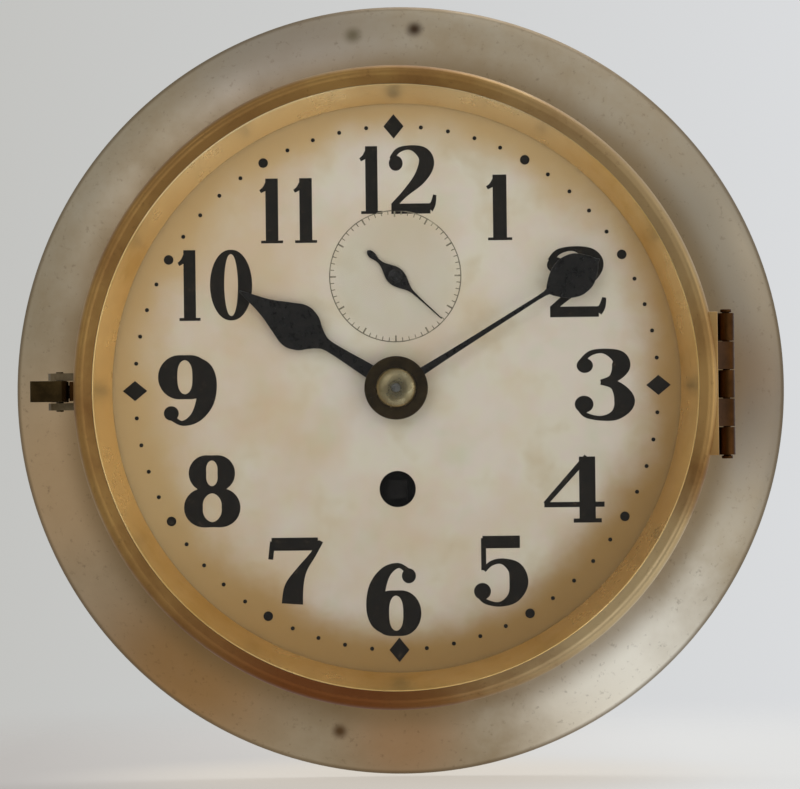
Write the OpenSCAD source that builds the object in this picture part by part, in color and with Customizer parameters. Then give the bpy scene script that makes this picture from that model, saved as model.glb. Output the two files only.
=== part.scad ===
// Ship's clock with a six inch dial: round nickel plated case, hinged brass door,
// and an eight day lever movement with a seconds hand and a single winding square.
// The origin is the middle of the back face that lies on the wall.
// Up is Z and the dial looks along minus Y.

/* [Case] */
// Width of the wall flange outside the drum [18:0.5:32]
flange_width = 24;
// Height of the flange where it meets the drum [8:0.5:16]
flange_rise = 11;
// Wall of the drum [1.2:0.1:1.8]
drum_wall = 1.5;
// Thickness of the case back [2:0.5:4]
back_thickness = 2.5;
// Space between the case back and the movement [8.5:0.5:14]
movement_space = 9.5;
// Circle of the three wall screw holes [116:1:134]
wall_screw_circle = 126;
// Diameter of a wall screw hole [4:0.1:5.5]
wall_screw_hole = 5;

/* [Door] */
// Radial thickness of the door rim [2.2:0.1:3.4]
door_rim = 2.6;
// Thickness of the glass [2:0.1:3]
glass_thickness = 2.4;
// Radial width of the polished cone between the dial and the glass [3:0.1:7]
cone_width = 4.2;
// Length of the hinge along its pin [30:1:44]
hinge_length = 38;
// Radius of the hinge knuckles [1.8:0.1:2.6]
knuckle_radius = 2.2;
// Width of the thumb latch [4.5:0.1:6.5]
latch_width = 5.6;

/* [Dial] */
// Diameter of the dial inside the cone [140:0.2:170]
sight_diameter = 152.4;
// Thickness of the dial [0.8:0.1:1.2]
dial_thickness = 1;
// Space for the hands between the dial and the glass [12:0.1:20]
hand_space = 14.1;
// Middle of the dial to the middle of the seconds dial [28:0.5:32]
seconds_offset = 30;
// Middle of the dial to the winding square [25:0.1:30]
winding_offset = 27.1;
// Diameter of the winding hole [9:0.1:11]
winding_hole = 9.7;
// Side of the winding square [4:0.1:5.5]
winding_square = 5;

/* [Hands] */
// Middle of the dial to the tip of the hour hand [42:0.5:52]
hour_hand_length = 49.5;
// Middle of the dial to the tip of the minute hand [58:0.5:68]
minute_hand_length = 64.4;
// Middle of the small dial to the tip of the seconds hand [14:0.5:18]
seconds_hand_length = 17;
// Radius of the disc in the middle of the hour hand [7:0.1:8]
hour_boss = 7.6;
// Radius of the disc in the middle of the minute hand [8:0.1:9.5]
minute_boss = 8.5;
// Radius of the round nut on the hands [4.8:0.1:6]
nut_radius = 5.4;
// Time shown, in hours [0:0.01:12]
time_shown = 10.162;
// How far the hour hand is set behind the true hour, in degrees [0:0.5:3]
hour_hand_lag = 2.5;

/* [Movement] */
// Radius of the back plate [56:0.5:58.5]
back_plate_radius = 58;
// Radius of the front plate [50:0.5:51.5]
front_plate_radius = 50.5;
// Thickness of both plates [1.8:0.1:2.2]
plate_thickness = 2;
// Clear space between the plates [25:0.5:28]
plate_gap = 26;
// Space for the motion work between the front plate and the dial [6.8:0.1:8]
motion_gap = 7;
// Radius of the pillars between the plates [2.6:0.1:3.4]
pillar_radius = 3;
// Head radius of the pillar screws [2.2:0.1:2.8]
pillar_screw_head = 2.5;
// Radius of the dial feet [2.2:0.1:3]
foot_radius = 2.6;
// Leaves of the centre pinion and of the second pinion [12:1:12]
slow_leaves = 12;
// Teeth of the great wheel on the barrel [72:1:72]
great_teeth = 72;
// Teeth of the second wheel [48:1:48]
second_teeth = 48;
// Teeth of the centre wheel [80:1:80]
centre_teeth = 80;
// Leaves of the third pinion and of the fourth pinion [10:1:10]
fast_leaves = 10;
// Teeth of the third wheel [75:1:75]
third_teeth = 75;
// Teeth of the fourth wheel, which carries the seconds hand [64:1:64]
fourth_teeth = 64;
// Leaves of the escape pinion [8:1:8]
escape_leaves = 8;
// Teeth of the escape wheel [15:1:15]
escape_teeth = 15;
// Radius of the balance rim [9:0.1:10]
balance_radius = 9.5;

/* [Hidden] */
$fn = 96;

// Clearances. A fixed seat is snug, a running fit turns freely.
snug = 0.01;
running = 0.04;

// Case and door radii, from the dial outwards
lip_r = sight_diameter / 2 + cone_width + 0.2;
glass_r = lip_r + 1.2;
rebate_r = glass_r + 0.2;
drum_r = glass_r + 0.7;
drum_in = drum_r - drum_wall;
skirt_in = drum_r + 0.4;
door_r = skirt_in + door_rim;
flange_r = drum_r + flange_width;

// Heights of the movement and the dial, measured from the wall face
back_low = back_thickness + movement_space;
back_top = back_low + plate_thickness;
front_low = back_top + plate_gap;
front_top = front_low + plate_thickness;
dial_low = front_top + motion_gap;
dial_level = dial_low + dial_thickness;
fitting_h = dial_low - 2.5;

// Heights of the door
reflector_low = dial_level + 1;
glass_low = dial_level + hand_space;
glass_top = glass_low + glass_thickness;
case_depth = glass_top + 3.5;
flange_low = glass_low - 0.7;
mouth = flange_low - 2.4;
skirt_low = mouth - 4.5;
hinge_h = skirt_low - 0.5;
hinge_x = door_r + 0.5 + knuckle_radius;

// Tooth sizes: pitch diameter divided by the number of teeth
great_module = winding_offset / 43.7;
second_module = 0.66;
centre_module = 0.44;
third_module = 0.42;
fourth_module = 0.40;
motion_module = 0.50;
cannon_leaves = 14;
minute_teeth = 42;
minute_leaves = 12;
hour_teeth = 48;
motion_distance = motion_module * (cannon_leaves + minute_teeth) / 2;
hour_module = 2 * motion_distance / (minute_leaves + hour_teeth);

// Where the arbors stand, in the plane of the dial
function unit(a) = [cos(a), sin(a)];
function polar(r, a) = [r * cos(a), r * sin(a)];
function heading(a, b) = atan2(b[1] - a[1], b[0] - a[0]);
function meet(a, ra, b, rb) =
  let (d = norm(b - a), u = (b - a) / d, t = (ra * ra - rb * rb + d * d) / (2 * d))
  a + t * u + sqrt(max(0, ra * ra - t * t)) * [-u[1], u[0]];
centre_at = [0, 0];
barrel_at = [0, -winding_offset];
fourth_at = [0, seconds_offset];
second_at = meet(centre_at, second_module * (second_teeth + slow_leaves) / 2,
                 barrel_at, great_module * (great_teeth + slow_leaves) / 2);
third_at = meet(centre_at, centre_module * (centre_teeth + fast_leaves) / 2,
                fourth_at, third_module * (third_teeth + fast_leaves) / 2);
escape_heading = -20;
lever_heading = -60;
escape_at = fourth_at + fourth_module * (fourth_teeth + escape_leaves) / 2 * unit(escape_heading);
escape_r = 8.5;
pallet_reach = escape_r / cos(30);
lever_reach = 13.5;
pallet_at = escape_at + pallet_reach * unit(lever_heading);
balance_at = pallet_at + lever_reach * unit(lever_heading);
minute_at = [-motion_distance, 0];
pillar_spots = [for (a = [45, 135, 225, 315]) polar(front_plate_radius - 4.5, a)];
post_spots = [for (a = [90, 210, 330]) polar(back_plate_radius - 4, a)];
foot_spots = [for (a = [62, 180, 300]) polar(front_plate_radius - 4.5, a)];
wall_spots = [for (a = [30, 150, 270]) polar(wall_screw_circle / 2, a)];
bridge_foot_a = balance_at + 7 * unit(lever_heading);
bridge_foot_b = pallet_at + 9.3 * unit(lever_heading + 90);
cock_foot = balance_at + 14.5 * unit(-25);
click_at = barrel_at + [-10.8, 7.6];
ratchet_r = 8;

// Turn of a driven wheel so that a gap faces the tooth of its driver
function mesh_turn(a, turn_a, teeth_a, b, teeth_b) =
  let (t = heading(a, b))
  t + 180 + ((t - turn_a) / (360 / teeth_a) + 0.5) * 360 / teeth_b;
second_pinion_turn = mesh_turn(barrel_at, 0, great_teeth, second_at, slow_leaves);
centre_pinion_turn = mesh_turn(second_at, 0, second_teeth, centre_at, slow_leaves);
third_pinion_turn = mesh_turn(centre_at, 0, centre_teeth, third_at, fast_leaves);
fourth_pinion_turn = mesh_turn(third_at, 0, third_teeth, fourth_at, fast_leaves);
escape_pinion_turn = mesh_turn(fourth_at, 0, fourth_teeth, escape_at, escape_leaves);
minute_wheel_turn = mesh_turn(centre_at, 0, cannon_leaves, minute_at, minute_teeth);
hour_wheel_turn = mesh_turn(minute_at, 0, minute_leaves, centre_at, hour_teeth);

// Hand angles, clockwise from twelve
hour_angle = 30 * time_shown - hour_hand_lag;
minute_angle = 360 * (time_shown - floor(time_shown));
seconds_angle = 133;

// The plane of the dial: x to the right, y up, height towards the viewer
module face() {
  rotate([90, 0, 0])
    children();
}

// A plain cylinder standing on a spot between two heights
module rod(p, r, low, high) {
  translate([p[0], p[1], low])
    cylinder(r = r, h = high - low);
}

// A flat shape standing between two heights
module slab(points, low, high) {
  translate([0, 0, low])
    linear_extrude(height = high - low)
      polygon(points);
}

// A turned ring about the middle, drawn as radius and height
module turned(points) {
  rotate_extrude()
    polygon(points);
}

// A cylinder along y, used for the hinge and the latch
module cross_rod(x, h, r, y0, y1) {
  translate([x, y0, h])
    rotate([-90, 0, 0])
      cylinder(r = r, h = y1 - y0);
}

// A flat shape drawn in x and height, with its thickness along y
module side_slab(points, y0, y1) {
  translate([0, y1, 0])
    rotate([90, 0, 0])
      linear_extrude(height = y1 - y0)
        polygon(points);
}

// A straight bar with round ends
module bar(a, b, width, low, high) {
  rod(a, width / 2, low, high);
  rod(b, width / 2, low, high);
  translate([a[0], a[1], low])
    rotate([0, 0, heading(a, b)])
      translate([0, -width / 2, 0])
        cube([norm(b - a), width, high - low]);
}

// A slotted screw. The head stands on the seat and the shank goes to the other side.
module screw(p, seat, side, head_r, head_h, shank_r, shank_l, slot_turn = 20) {
  translate([p[0], p[1], seat])
    rotate([side > 0 ? 0 : 180, 0, 0])
      difference() {
        union() {
          cylinder(r = head_r, h = head_h);
          translate([0, 0, -shank_l])
            cylinder(r = shank_r, h = shank_l + 0.1);
        }
        rotate([0, 0, slot_turn])
          translate([-head_r - 1, -head_r * 0.14, head_h * 0.5])
            cube([2 * head_r + 2, head_r * 0.28, head_h]);
      }
}

// One wheel tooth with radial flanks and a pointed round top
function wheel_tooth(n, m, turn) =
  let (r = n * m / 2, a = 86 / n)
  [
    polar(r - 1.4 * m, turn - a),
    polar(r, turn - a),
    polar(r + 0.7 * m, turn - 0.72 * a),
    polar(r + 1.22 * m, turn - 0.24 * a),
    polar(r + 1.22 * m, turn + 0.24 * a),
    polar(r + 0.7 * m, turn + 0.72 * a),
    polar(r, turn + a),
    polar(r - 1.4 * m, turn + a)
  ];

// One pinion leaf with radial flanks and a half round top
function pinion_leaf(n, m, turn) =
  let (r = n * m / 2, a = (n < 10 ? 60 : 65) / n)
  [
    polar(r - 1.7 * m, turn - a),
    polar(r, turn - a),
    polar(r + 0.42 * m, turn - 0.78 * a),
    polar(r + 0.66 * m, turn - 0.3 * a),
    polar(r + 0.66 * m, turn + 0.3 * a),
    polar(r + 0.42 * m, turn + 0.78 * a),
    polar(r, turn + a),
    polar(r - 1.7 * m, turn + a)
  ];

function wheel_outline(n, m, turn) =
  [for (i = [0:n - 1]) each wheel_tooth(n, m, turn + i * 360 / n)];
function pinion_outline(n, m, turn) =
  [for (i = [0:n - 1]) each pinion_leaf(n, m, turn + i * 360 / n)];

// A crossed out wheel with a hub and arms
module train_wheel(p, n, m, turn, low, high, bore, hub_r, arms) {
  rim = n * m / 2 - 3.6 * m;
  translate([p[0], p[1], 0])
    difference() {
      slab(wheel_outline(n, m, turn), low, high);
      difference() {
        rod([0, 0], rim, low - 1, high + 1);
        rod([0, 0], hub_r, low - 2, high + 2);
        for (i = [0:arms - 1])
          rotate([0, 0, turn + i * 360 / arms])
            translate([0, -hub_r * 0.3, low - 2])
              cube([rim + 1, hub_r * 0.6, high - low + 4]);
      }
      rod([0, 0], bore + snug, low - 1, high + 1);
    }
}

module pinion(p, n, m, turn, low, high) {
  translate([p[0], p[1], 0])
    slab(pinion_outline(n, m, turn), low, high);
}

// A spiral strip drawn from its inner to its outer end
module spiral(r0, r1, turns, strip, low, high, start) {
  steps = turns * 20;
  slab(concat(
    [for (i = [0:steps]) polar(r0 + (r1 - r0) * i / steps, start + 18 * i)],
    [for (i = [steps:-1:0]) polar(r0 + strip + (r1 - r0) * i / steps, start + 18 * i)]
  ), low, high);
}

// Case

// Heavy turned case: convex wall flange, thin drum and closed back
module case_body() {
  f = flange_r;
  w = flange_width;
  color([0.72, 0.70, 0.66])
    face()
      difference() {
        turned([
          [0, 0],
          [f, 0],
          [f, 0.19 * flange_rise],
          [f - 0.03 * w, 0.33 * flange_rise],
          [f - 0.14 * w, 0.50 * flange_rise],
          [f - 0.32 * w, 0.68 * flange_rise],
          [f - 0.55 * w, 0.83 * flange_rise],
          [f - 0.80 * w, 0.93 * flange_rise],
          [f - 0.93 * w, flange_rise],
          [f - 0.98 * w, 1.12 * flange_rise],
          [drum_r, 1.30 * flange_rise],
          [drum_r, mouth],
          [drum_in, mouth],
          [drum_in, back_thickness + 3],
          [drum_in - 0.9, back_thickness + 0.9],
          [drum_in - 3, back_thickness],
          [0, back_thickness]
        ]);
        for (p = wall_spots)
          rod(p, wall_screw_hole / 2, -1, back_thickness + 1);
        for (p = post_spots)
          rod(p, 1.5 + snug, -1, back_thickness + 1);
        for (y = [-hinge_length / 4, hinge_length / 4])
          leaf_screw_hole(y);
        for (y = [-bracket_screw_y, bracket_screw_y])
          bracket_screw_hole(y);
      }
}

// Holes through the drum wall for the screws that hold the outside fittings
module leaf_screw_hole(y) {
  translate([drum_in - 3, y, fitting_h])
    rotate([0, 90, 0])
      cylinder(r = 1.0 + snug, h = 6.4);
}

module bracket_screw_hole(y) {
  translate([-drum_in + 3, y, fitting_h])
    rotate([0, -90, 0])
      cylinder(r = 1.0 + snug, h = 6.4);
}

// Five knuckles share the hinge length: odd ones on the case, even ones on the door
function knuckle_low(i) = -hinge_length / 2 + i * hinge_length / 5 + 0.12;
function knuckle_high(i) = -hinge_length / 2 + (i + 1) * hinge_length / 5 - 0.12;

leaf_low = min(fitting_h - 3.5, hinge_h - 11);
module hinge_leaf_case() {
  color([0.33, 0.24, 0.12])
    face()
      difference() {
        union() {
          side_slab([
            [drum_r - 3, leaf_low],
            [door_r - 0.7, leaf_low],
            [door_r - 0.1, leaf_low + 0.8],
            [door_r - 0.1, hinge_h - 1],
            [door_r - 0.9, hinge_h - 0.5],
            [drum_r - 3, hinge_h - 0.5]
          ], -hinge_length / 2, hinge_length / 2);
          for (i = [0, 2, 4]) {
            cross_rod(hinge_x, hinge_h, knuckle_radius, knuckle_low(i), knuckle_high(i));
            side_slab([
              [door_r - 0.6, hinge_h - 6.5],
              [hinge_x + 0.2 * knuckle_radius, hinge_h - 0.97 * knuckle_radius],
              [hinge_x, hinge_h],
              [hinge_x - knuckle_radius, hinge_h],
              [door_r - 0.3, hinge_h - 1.2],
              [door_r - 0.6, hinge_h - 1.2]
            ], knuckle_low(i), knuckle_high(i));
          }
        }
        rod([0, 0], drum_r, leaf_low - 1, hinge_h + 5, $fn = 240);
        cross_rod(hinge_x, hinge_h, 1.0 + snug, -hinge_length, hinge_length);
        for (y = [-hinge_length / 4, hinge_length / 4])
          leaf_screw_hole(y);
      }
}

module hinge_pin() {
  color([0.30, 0.22, 0.12])
    face() {
      cross_rod(hinge_x, hinge_h, 1.0, -hinge_length / 2 - 0.8, hinge_length / 2 + 0.8);
      cross_rod(hinge_x, hinge_h, 1.5, hinge_length / 2 + 0.1, hinge_length / 2 + 0.9);
      cross_rod(hinge_x, hinge_h, 1.5, -hinge_length / 2 - 0.9, -hinge_length / 2 - 0.1);
    }
}

// Latch on the left side of the drum
latch_x = -(door_r + 5);
latch_h = skirt_low - 6.5;
latch_rest = 9;
ear_gap = latch_width / 2 + 0.25;
bracket_low = min(fitting_h - 3.5, latch_h - 6);
bracket_half = ear_gap + 4.95;
bracket_screw_y = bracket_half - 2.4;

module latch_bracket() {
  color([0.55, 0.50, 0.40])
    face()
      difference() {
        union() {
          side_slab([
            [-drum_r + 3, bracket_low],
            [-door_r - 0.2, bracket_low],
            [-door_r - 0.2, skirt_low - 1.2],
            [-door_r + 0.6, skirt_low - 0.6],
            [-drum_r + 3, skirt_low - 0.6]
          ], -bracket_half, bracket_half);
          for (s = [-1, 1])
            side_slab([
              [-door_r + 1, latch_h - 5.4],
              [latch_x + 1.0, latch_h - 3.2],
              [latch_x - 2.2, latch_h - 2.4],
              [latch_x - 3.0, latch_h - 0.8],
              [latch_x - 3.0, latch_h + 0.8],
              [latch_x - 2.2, latch_h + 2.3],
              [latch_x + 1.0, latch_h + 3.2],
              [-door_r + 1, latch_h + 4.6]
            ],
            s > 0 ? ear_gap : -ear_gap - 1.9,
            s > 0 ? ear_gap + 1.9 : -ear_gap);
        }
        rod([0, 0], drum_r, bracket_low - 1, skirt_low + 5, $fn = 240);
        cross_rod(latch_x, latch_h, 1.0 + snug, -20, 20);
        for (y = [-bracket_screw_y, bracket_screw_y])
          bracket_screw_hole(y);
      }
}

module latch_pin() {
  color([0.62, 0.52, 0.30])
    face()
      cross_rod(latch_x, latch_h, 1.0, -ear_gap - 2.3, ear_gap + 2.3);
}

// Leaf spring under the lever tail
module latch_spring() {
  color([0.35, 0.36, 0.40])
    face()
      difference() {
        side_slab([
          [-door_r + 1, latch_h + 3.4],
          [-door_r - 0.75, latch_h + 3.4],
          [-door_r - 0.95, latch_h + 0.6],
          [-door_r - 2.95, latch_h - 3.4],
          [-door_r - 2.45, latch_h - 4.6],
          [-door_r - 2.15, latch_h - 4.5],
          [-door_r - 2.6, latch_h - 3.4],
          [-door_r - 0.55, latch_h + 0.5],
          [-door_r - 0.21, latch_h + 2.2],
          [-door_r + 1, latch_h + 2.2]
        ], -1.8, 1.8);
        translate([-door_r - 0.2, -3, latch_h - 10])
          cube([5, 6, 20]);
      }
}

// Screws from inside the drum into the hinge leaf and the latch bracket
module fitting_screws() {
  color([0.62, 0.52, 0.30])
    face() {
      for (y = [-hinge_length / 4, hinge_length / 4])
        translate([sqrt(drum_in * drum_in - (abs(y) + 1.9) * (abs(y) + 1.9)), y, fitting_h])
          rotate([0, 90, 0])
            inside_screw(4.4);
      for (y = [-bracket_screw_y, bracket_screw_y])
        translate([-sqrt(drum_in * drum_in - (abs(y) + 1.9) * (abs(y) + 1.9)), y, fitting_h])
          rotate([0, -90, 0])
            inside_screw(3.9);
    }
}

// A low slotted head inside the drum wall, its shank pointing out
module inside_screw(shank) {
  difference() {
    union() {
      translate([0, 0, -1])
        cylinder(r = 1.8, h = 1);
      translate([0, 0, -0.5])
        cylinder(r = 1.0, h = shank);
    }
    translate([-3, -0.25, -1.5])
      cube([6, 0.5, 1]);
  }
}

// Door

module door_ring() {
  color([0.78, 0.58, 0.28])
    face()
      difference() {
        union() {
          turned([
            [lip_r - 1, skirt_low],
            [door_r - 0.3, skirt_low],
            [door_r, skirt_low + 0.3],
            [door_r, case_depth - 2.6],
            [door_r - 0.25, case_depth - 1.5],
            [door_r - 0.8, case_depth - 0.6],
            [door_r - 1.5, case_depth - 0.12],
            [door_r - 2.0, case_depth],
            [lip_r - 1, case_depth]
          ]);
          // straight edged lug that carries the knuckles
          translate([drum_r - 4, -hinge_length / 2, skirt_low + 1.2])
            cube([door_r - drum_r + 4, hinge_length, case_depth - 1.6 - skirt_low - 1.2]);
          for (i = [1, 3]) {
            cross_rod(hinge_x, hinge_h, knuckle_radius, knuckle_low(i), knuckle_high(i));
            side_slab([
              [door_r - 1.4, skirt_low],
              [hinge_x, hinge_h],
              [hinge_x + 0.4 * knuckle_radius, hinge_h + 0.91 * knuckle_radius],
              [hinge_x - 0.6, hinge_h + knuckle_radius + 1.2],
              [door_r - 0.1, hinge_h + knuckle_radius + 4.2],
              [door_r - 1.4, hinge_h + knuckle_radius + 4.2]
            ], knuckle_low(i), knuckle_high(i));
          }
        }
        turned([
          [0, skirt_low - 5],
          [skirt_in, skirt_low - 5],
          [skirt_in, flange_low],
          [rebate_r, flange_low],
          [rebate_r, glass_top],
          [lip_r, glass_top],
          [lip_r, glass_top + 0.5],
          [door_r - 2.6, case_depth - 0.5],
          [door_r - 2.3, case_depth - 0.14],
          [door_r - 2.0, case_depth],
          [door_r - 2.0, case_depth + 2],
          [0, case_depth + 2]
        ]);
        cross_rod(hinge_x, hinge_h, 1.0 + running, -hinge_length, hinge_length);
        for (p = reflector_screw_spots) {
          rod(p, 0.6 + snug, flange_low - 1, flange_low + 2.2);
          rod(p, 1.5, skirt_low - 1, flange_low);
        }
      }
}

reflector_screw_spots = [for (a = [45, 135, 225, 315]) polar(rebate_r + 1.0, a)];

module door_glass() {
  color([0.85, 0.92, 0.92, 0.3])
    face()
      turned([
        [0, glass_low],
        [glass_r - 0.3, glass_low],
        [glass_r, glass_low + 0.3],
        [glass_r, glass_top - 0.3],
        [glass_r - 0.3, glass_top],
        [0, glass_top]
      ]);
}

// Polished cone between the dial and the glass
module reflector_ring() {
  cone_top = lip_r - 0.2;
  low_r = sight_diameter / 2;
  slope = (cone_top - low_r) / (glass_low - reflector_low);
  color([0.82, 0.62, 0.30])
    face()
      turned([
        [low_r, reflector_low],
        [low_r + 0.65, reflector_low],
        [low_r + 0.65 + slope * (flange_low - reflector_low), flange_low],
        [glass_r, flange_low],
        [glass_r, glass_low],
        [cone_top, glass_low]
      ]);
}

module reflector_screws() {
  color([0.70, 0.58, 0.32])
    face()
      for (p = reflector_screw_spots)
        screw(p, flange_low, -1, 1.35, 0.9, 0.6, 2.0);
}

// Small block on the door skirt that the latch hooks over
module door_strike() {
  color([0.60, 0.46, 0.24])
    face()
      difference() {
        translate([-door_r - 1.6, -latch_width / 2 + 0.2, latch_h + 7.4])
          cube([4, latch_width - 0.4, 2.8]);
        rod([0, 0], door_r, latch_h, latch_h + 20, $fn = 240);
      }
}

module latch_lever() {
  color([0.16, 0.12, 0.06])
    face()
      translate([latch_x, 0, latch_h])
        rotate([0, -latch_rest, 0])
          difference() {
            union() {
              side_slab([
                [-1.3, -4.2],
                [1.3, -4.2],
                [1.4, 9.6],
                [1.8, 10.4],
                [4.6, 10.4],
                [4.6, 11.8],
                [3.6, 12.6],
                [-2.6, 12.7],
                [-4.2, 13.1],
                [-5.0, 12.7],
                [-5.2, 11.2],
                [-4.6, 10.2],
                [-1.4, 9.6]
              ], -latch_width / 2, latch_width / 2);
              cross_rod(0, 0, 2.4, -latch_width / 2, latch_width / 2);
            }
            cross_rod(0, 0, 1.0 + running, -latch_width, latch_width);
          }
}

// Dial

module dial() {
  color([0.84, 0.80, 0.68])
    face()
      difference() {
        rod([0, 0], drum_in - 0.6, dial_low, dial_level);
        rod(centre_at, 3.4, 0, case_depth);
        rod(fourth_at, 1.5, 0, case_depth);
        rod(barrel_at, winding_hole / 2, 0, case_depth);
      }
}

module dial_feet() {
  color([0.70, 0.56, 0.30])
    face()
      for (p = foot_spots)
        difference() {
          union() {
            rod(p, 1.3, front_low - 2.4, dial_low);
            rod(p, foot_radius, front_top, dial_low);
          }
          translate([p[0] - 5, p[1], front_low - 1.0])
            rotate([0, 90, 0])
              cylinder(r = 0.4 + snug, h = 10);
        }
}

module dial_pins() {
  color([0.75, 0.62, 0.35])
    face()
      for (p = foot_spots)
        translate([p[0] - 4, p[1], front_low - 1.0])
          rotate([0, 90, 0])
            cylinder(r = 0.4, h = 8);
}

// Frame of the movement

module movement_posts() {
  color([0.76, 0.60, 0.30])
    face()
      for (p = post_spots)
        difference() {
          union() {
            rod(p, 3.4, back_thickness, back_low);
            rod(p, 1.5, 0, back_thickness + 1);
          }
          rod(p, 1.0 + snug, back_low - 5, back_low + 1);
        }
}

module post_screws() {
  color([0.25, 0.28, 0.38])
    face()
      for (p = post_spots)
        screw(p, back_top, 1, 2.3, 1.4, 1.0, 6);
}

module back_plate() {
  color([0.80, 0.64, 0.32])
    face()
      difference() {
        rod([0, 0], back_plate_radius, back_low, back_top);
        for (p = pillar_spots)
          rod(p, 1.7 + snug, back_low - 1, back_top + 1);
        for (p = post_spots)
          rod(p, 1.0 + snug, back_low - 1, back_top + 1);
        rod(centre_at, 0.9 + running, back_low - 1, back_top + 1);
        rod(barrel_at, 2.0 + running, back_low - 1, back_top + 1);
        for (p = [second_at, third_at, fourth_at, escape_at])
          rod(p, 0.5 + running, back_low - 1, back_top + 1);
        rod(pallet_at, 0.4 + running, back_low - 1, back_top + 1);
        rod(balance_at, 2.4, back_low - 1, back_top + 1);
        for (p = [bridge_foot_a, bridge_foot_b, cock_foot])
          rod(p, 0.8 + snug, back_low - 1, back_top + 1);
        for (s = [-1, 1])
          rod(banking_spot(s), 0.4 + snug, back_low - 1, back_top + 1);
      }
}

module front_plate() {
  color([0.80, 0.64, 0.32])
    face()
      difference() {
        rod([0, 0], front_plate_radius, front_low, front_top);
        for (p = pillar_spots)
          rod(p, 1.2 + snug, front_low - 1, front_top + 1);
        for (p = foot_spots)
          rod(p, 1.3 + snug, front_low - 1, front_top + 1);
        rod(centre_at, 1.4 + running, front_low - 1, front_top + 1);
        rod(barrel_at, 2.9 + running, front_low - 1, front_top + 1);
        for (p = [second_at, third_at, escape_at])
          rod(p, 0.5 + running, front_low - 1, front_top + 1);
        rod(fourth_at, 0.6 + running, front_low - 1, front_top + 1);
        rod(minute_at, 0.9 + snug, front_low - 1, front_top + 1);
        rod(click_at, 0.8 + snug, front_low - 1, front_top + 1);
        rod(click_spring_at, 0.7 + snug, front_low - 1, front_top + 1);
      }
}

module plate_pillars() {
  color([0.78, 0.60, 0.30])
    face()
      for (p = pillar_spots)
        difference() {
          union() {
            rod(p, pillar_radius, back_top, front_low);
            rod(p, 1.7, back_low, back_top + 1);
          }
          difference() {
            rod(p, 5, back_top + 4, front_low - 4);
            rod(p, pillar_radius - 0.6, back_top + 3, front_low - 3);
          }
          rod(p, 1.2 + snug, front_low - 6, front_low + 1);
        }
}

module pillar_screws() {
  color([0.25, 0.28, 0.38])
    face()
      for (p = pillar_spots)
        screw(p, front_top, 1, pillar_screw_head, 1.5, 1.2, 7.5);
}

module minute_wheel_post() {
  color([0.55, 0.56, 0.58])
    face() {
      rod(minute_at, 0.9, front_low, front_top + 0.5);
      rod(minute_at, 1.8, front_top, front_top + 1.2);
      rod(minute_at, 0.9, front_top, dial_low - 0.6);
    }
}

// Arbors and wheels of the train

module centre_arbor() {
  color([0.60, 0.61, 0.64])
    face() {
      rod(centre_at, 0.9, back_low, back_top + 0.5);
      rod(centre_at, 1.5, back_top + 0.25, front_low - 0.2);
      rod(centre_at, 1.4, front_low - 0.4, front_top + 0.4);
      rod(centre_at, 1.2, front_top, dial_level + 8.4);
      pinion(centre_at, slow_leaves, second_module, centre_pinion_turn,
             front_low - 5.6, front_low - 3.6);
    }
}

module centre_wheel() {
  color([0.84, 0.66, 0.34])
    face()
      train_wheel(centre_at, centre_teeth, centre_module, 0, front_low - 3.0, front_low - 1.8, 1.5, 4, 5);
}

// Pinion of the motion work with the long pipe that carries the minute hand
module cannon_pinion() {
  color([0.62, 0.63, 0.66])
    face()
      difference() {
        union() {
          pinion(centre_at, cannon_leaves, motion_module, 0, front_top + 0.6, front_top + 3.2);
          rod(centre_at, 2.0, front_top + 3, dial_level + 5.4);
        }
        rod(centre_at, 1.2 + snug, front_top, dial_level + 9);
      }
}

// Spade hand drawn towards twelve
function hour_half() =
  let (l = hour_hand_length)
  [
    [0.042 * l, 0.14 * l],
    [0.034 * l, 0.30 * l],
    [0.030 * l, 0.43 * l],
    [0.040 * l, 0.47 * l],
    [0.070 * l, 0.515 * l],
    [0.104 * l, 0.555 * l],
    [0.122 * l, 0.60 * l],
    [0.127 * l, 0.63 * l],
    [0.120 * l, 0.67 * l],
    [0.098 * l, 0.72 * l],
    [0.078 * l, 0.765 * l],
    [0.058 * l, 0.81 * l],
    [0.038 * l, 0.87 * l],
    [0.022 * l, 0.94 * l],
    [0.006 * l, l]
  ];
function minute_half() =
  let (l = minute_hand_length)
  [
    [0.018 * l, 0.10 * l],
    [0.011 * l, 0.40 * l],
    [0.010 * l, 0.73 * l],
    [0.026 * l, 0.755 * l],
    [0.050 * l, 0.78 * l],
    [0.072 * l, 0.81 * l],
    [0.087 * l, 0.85 * l],
    [0.088 * l, 0.88 * l],
    [0.080 * l, 0.915 * l],
    [0.060 * l, 0.945 * l],
    [0.034 * l, 0.97 * l],
    [0.014 * l, 0.985 * l],
    [0.004 * l, l]
  ];
function both_sides(half) =
  concat(half, [for (i = [len(half) - 1:-1:0]) [-half[i][0], half[i][1]]]);

module hour_hand() {
  color([0.06, 0.06, 0.07])
    face()
      rotate([0, 0, -hour_angle])
        difference() {
          union() {
            slab(both_sides(hour_half()), dial_level + 2.1, dial_level + 2.8);
            rod(centre_at, hour_boss, dial_level + 2.1, dial_level + 2.8);
            rod(centre_at, 4.2, dial_level + 1.7, dial_level + 3.3);
          }
          rod(centre_at, 2.9 + snug, dial_level, dial_level + 5);
        }
}

module minute_hand() {
  color([0.06, 0.06, 0.07])
    face()
      rotate([0, 0, -minute_angle])
        difference() {
          union() {
            slab(both_sides(minute_half()), dial_level + 4.5, dial_level + 5.1);
            rod(centre_at, minute_boss, dial_level + 4.4, dial_level + 5.4);
          }
          rod(centre_at, 2.0 + snug, dial_level + 3, dial_level + 6);
        }
}

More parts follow.
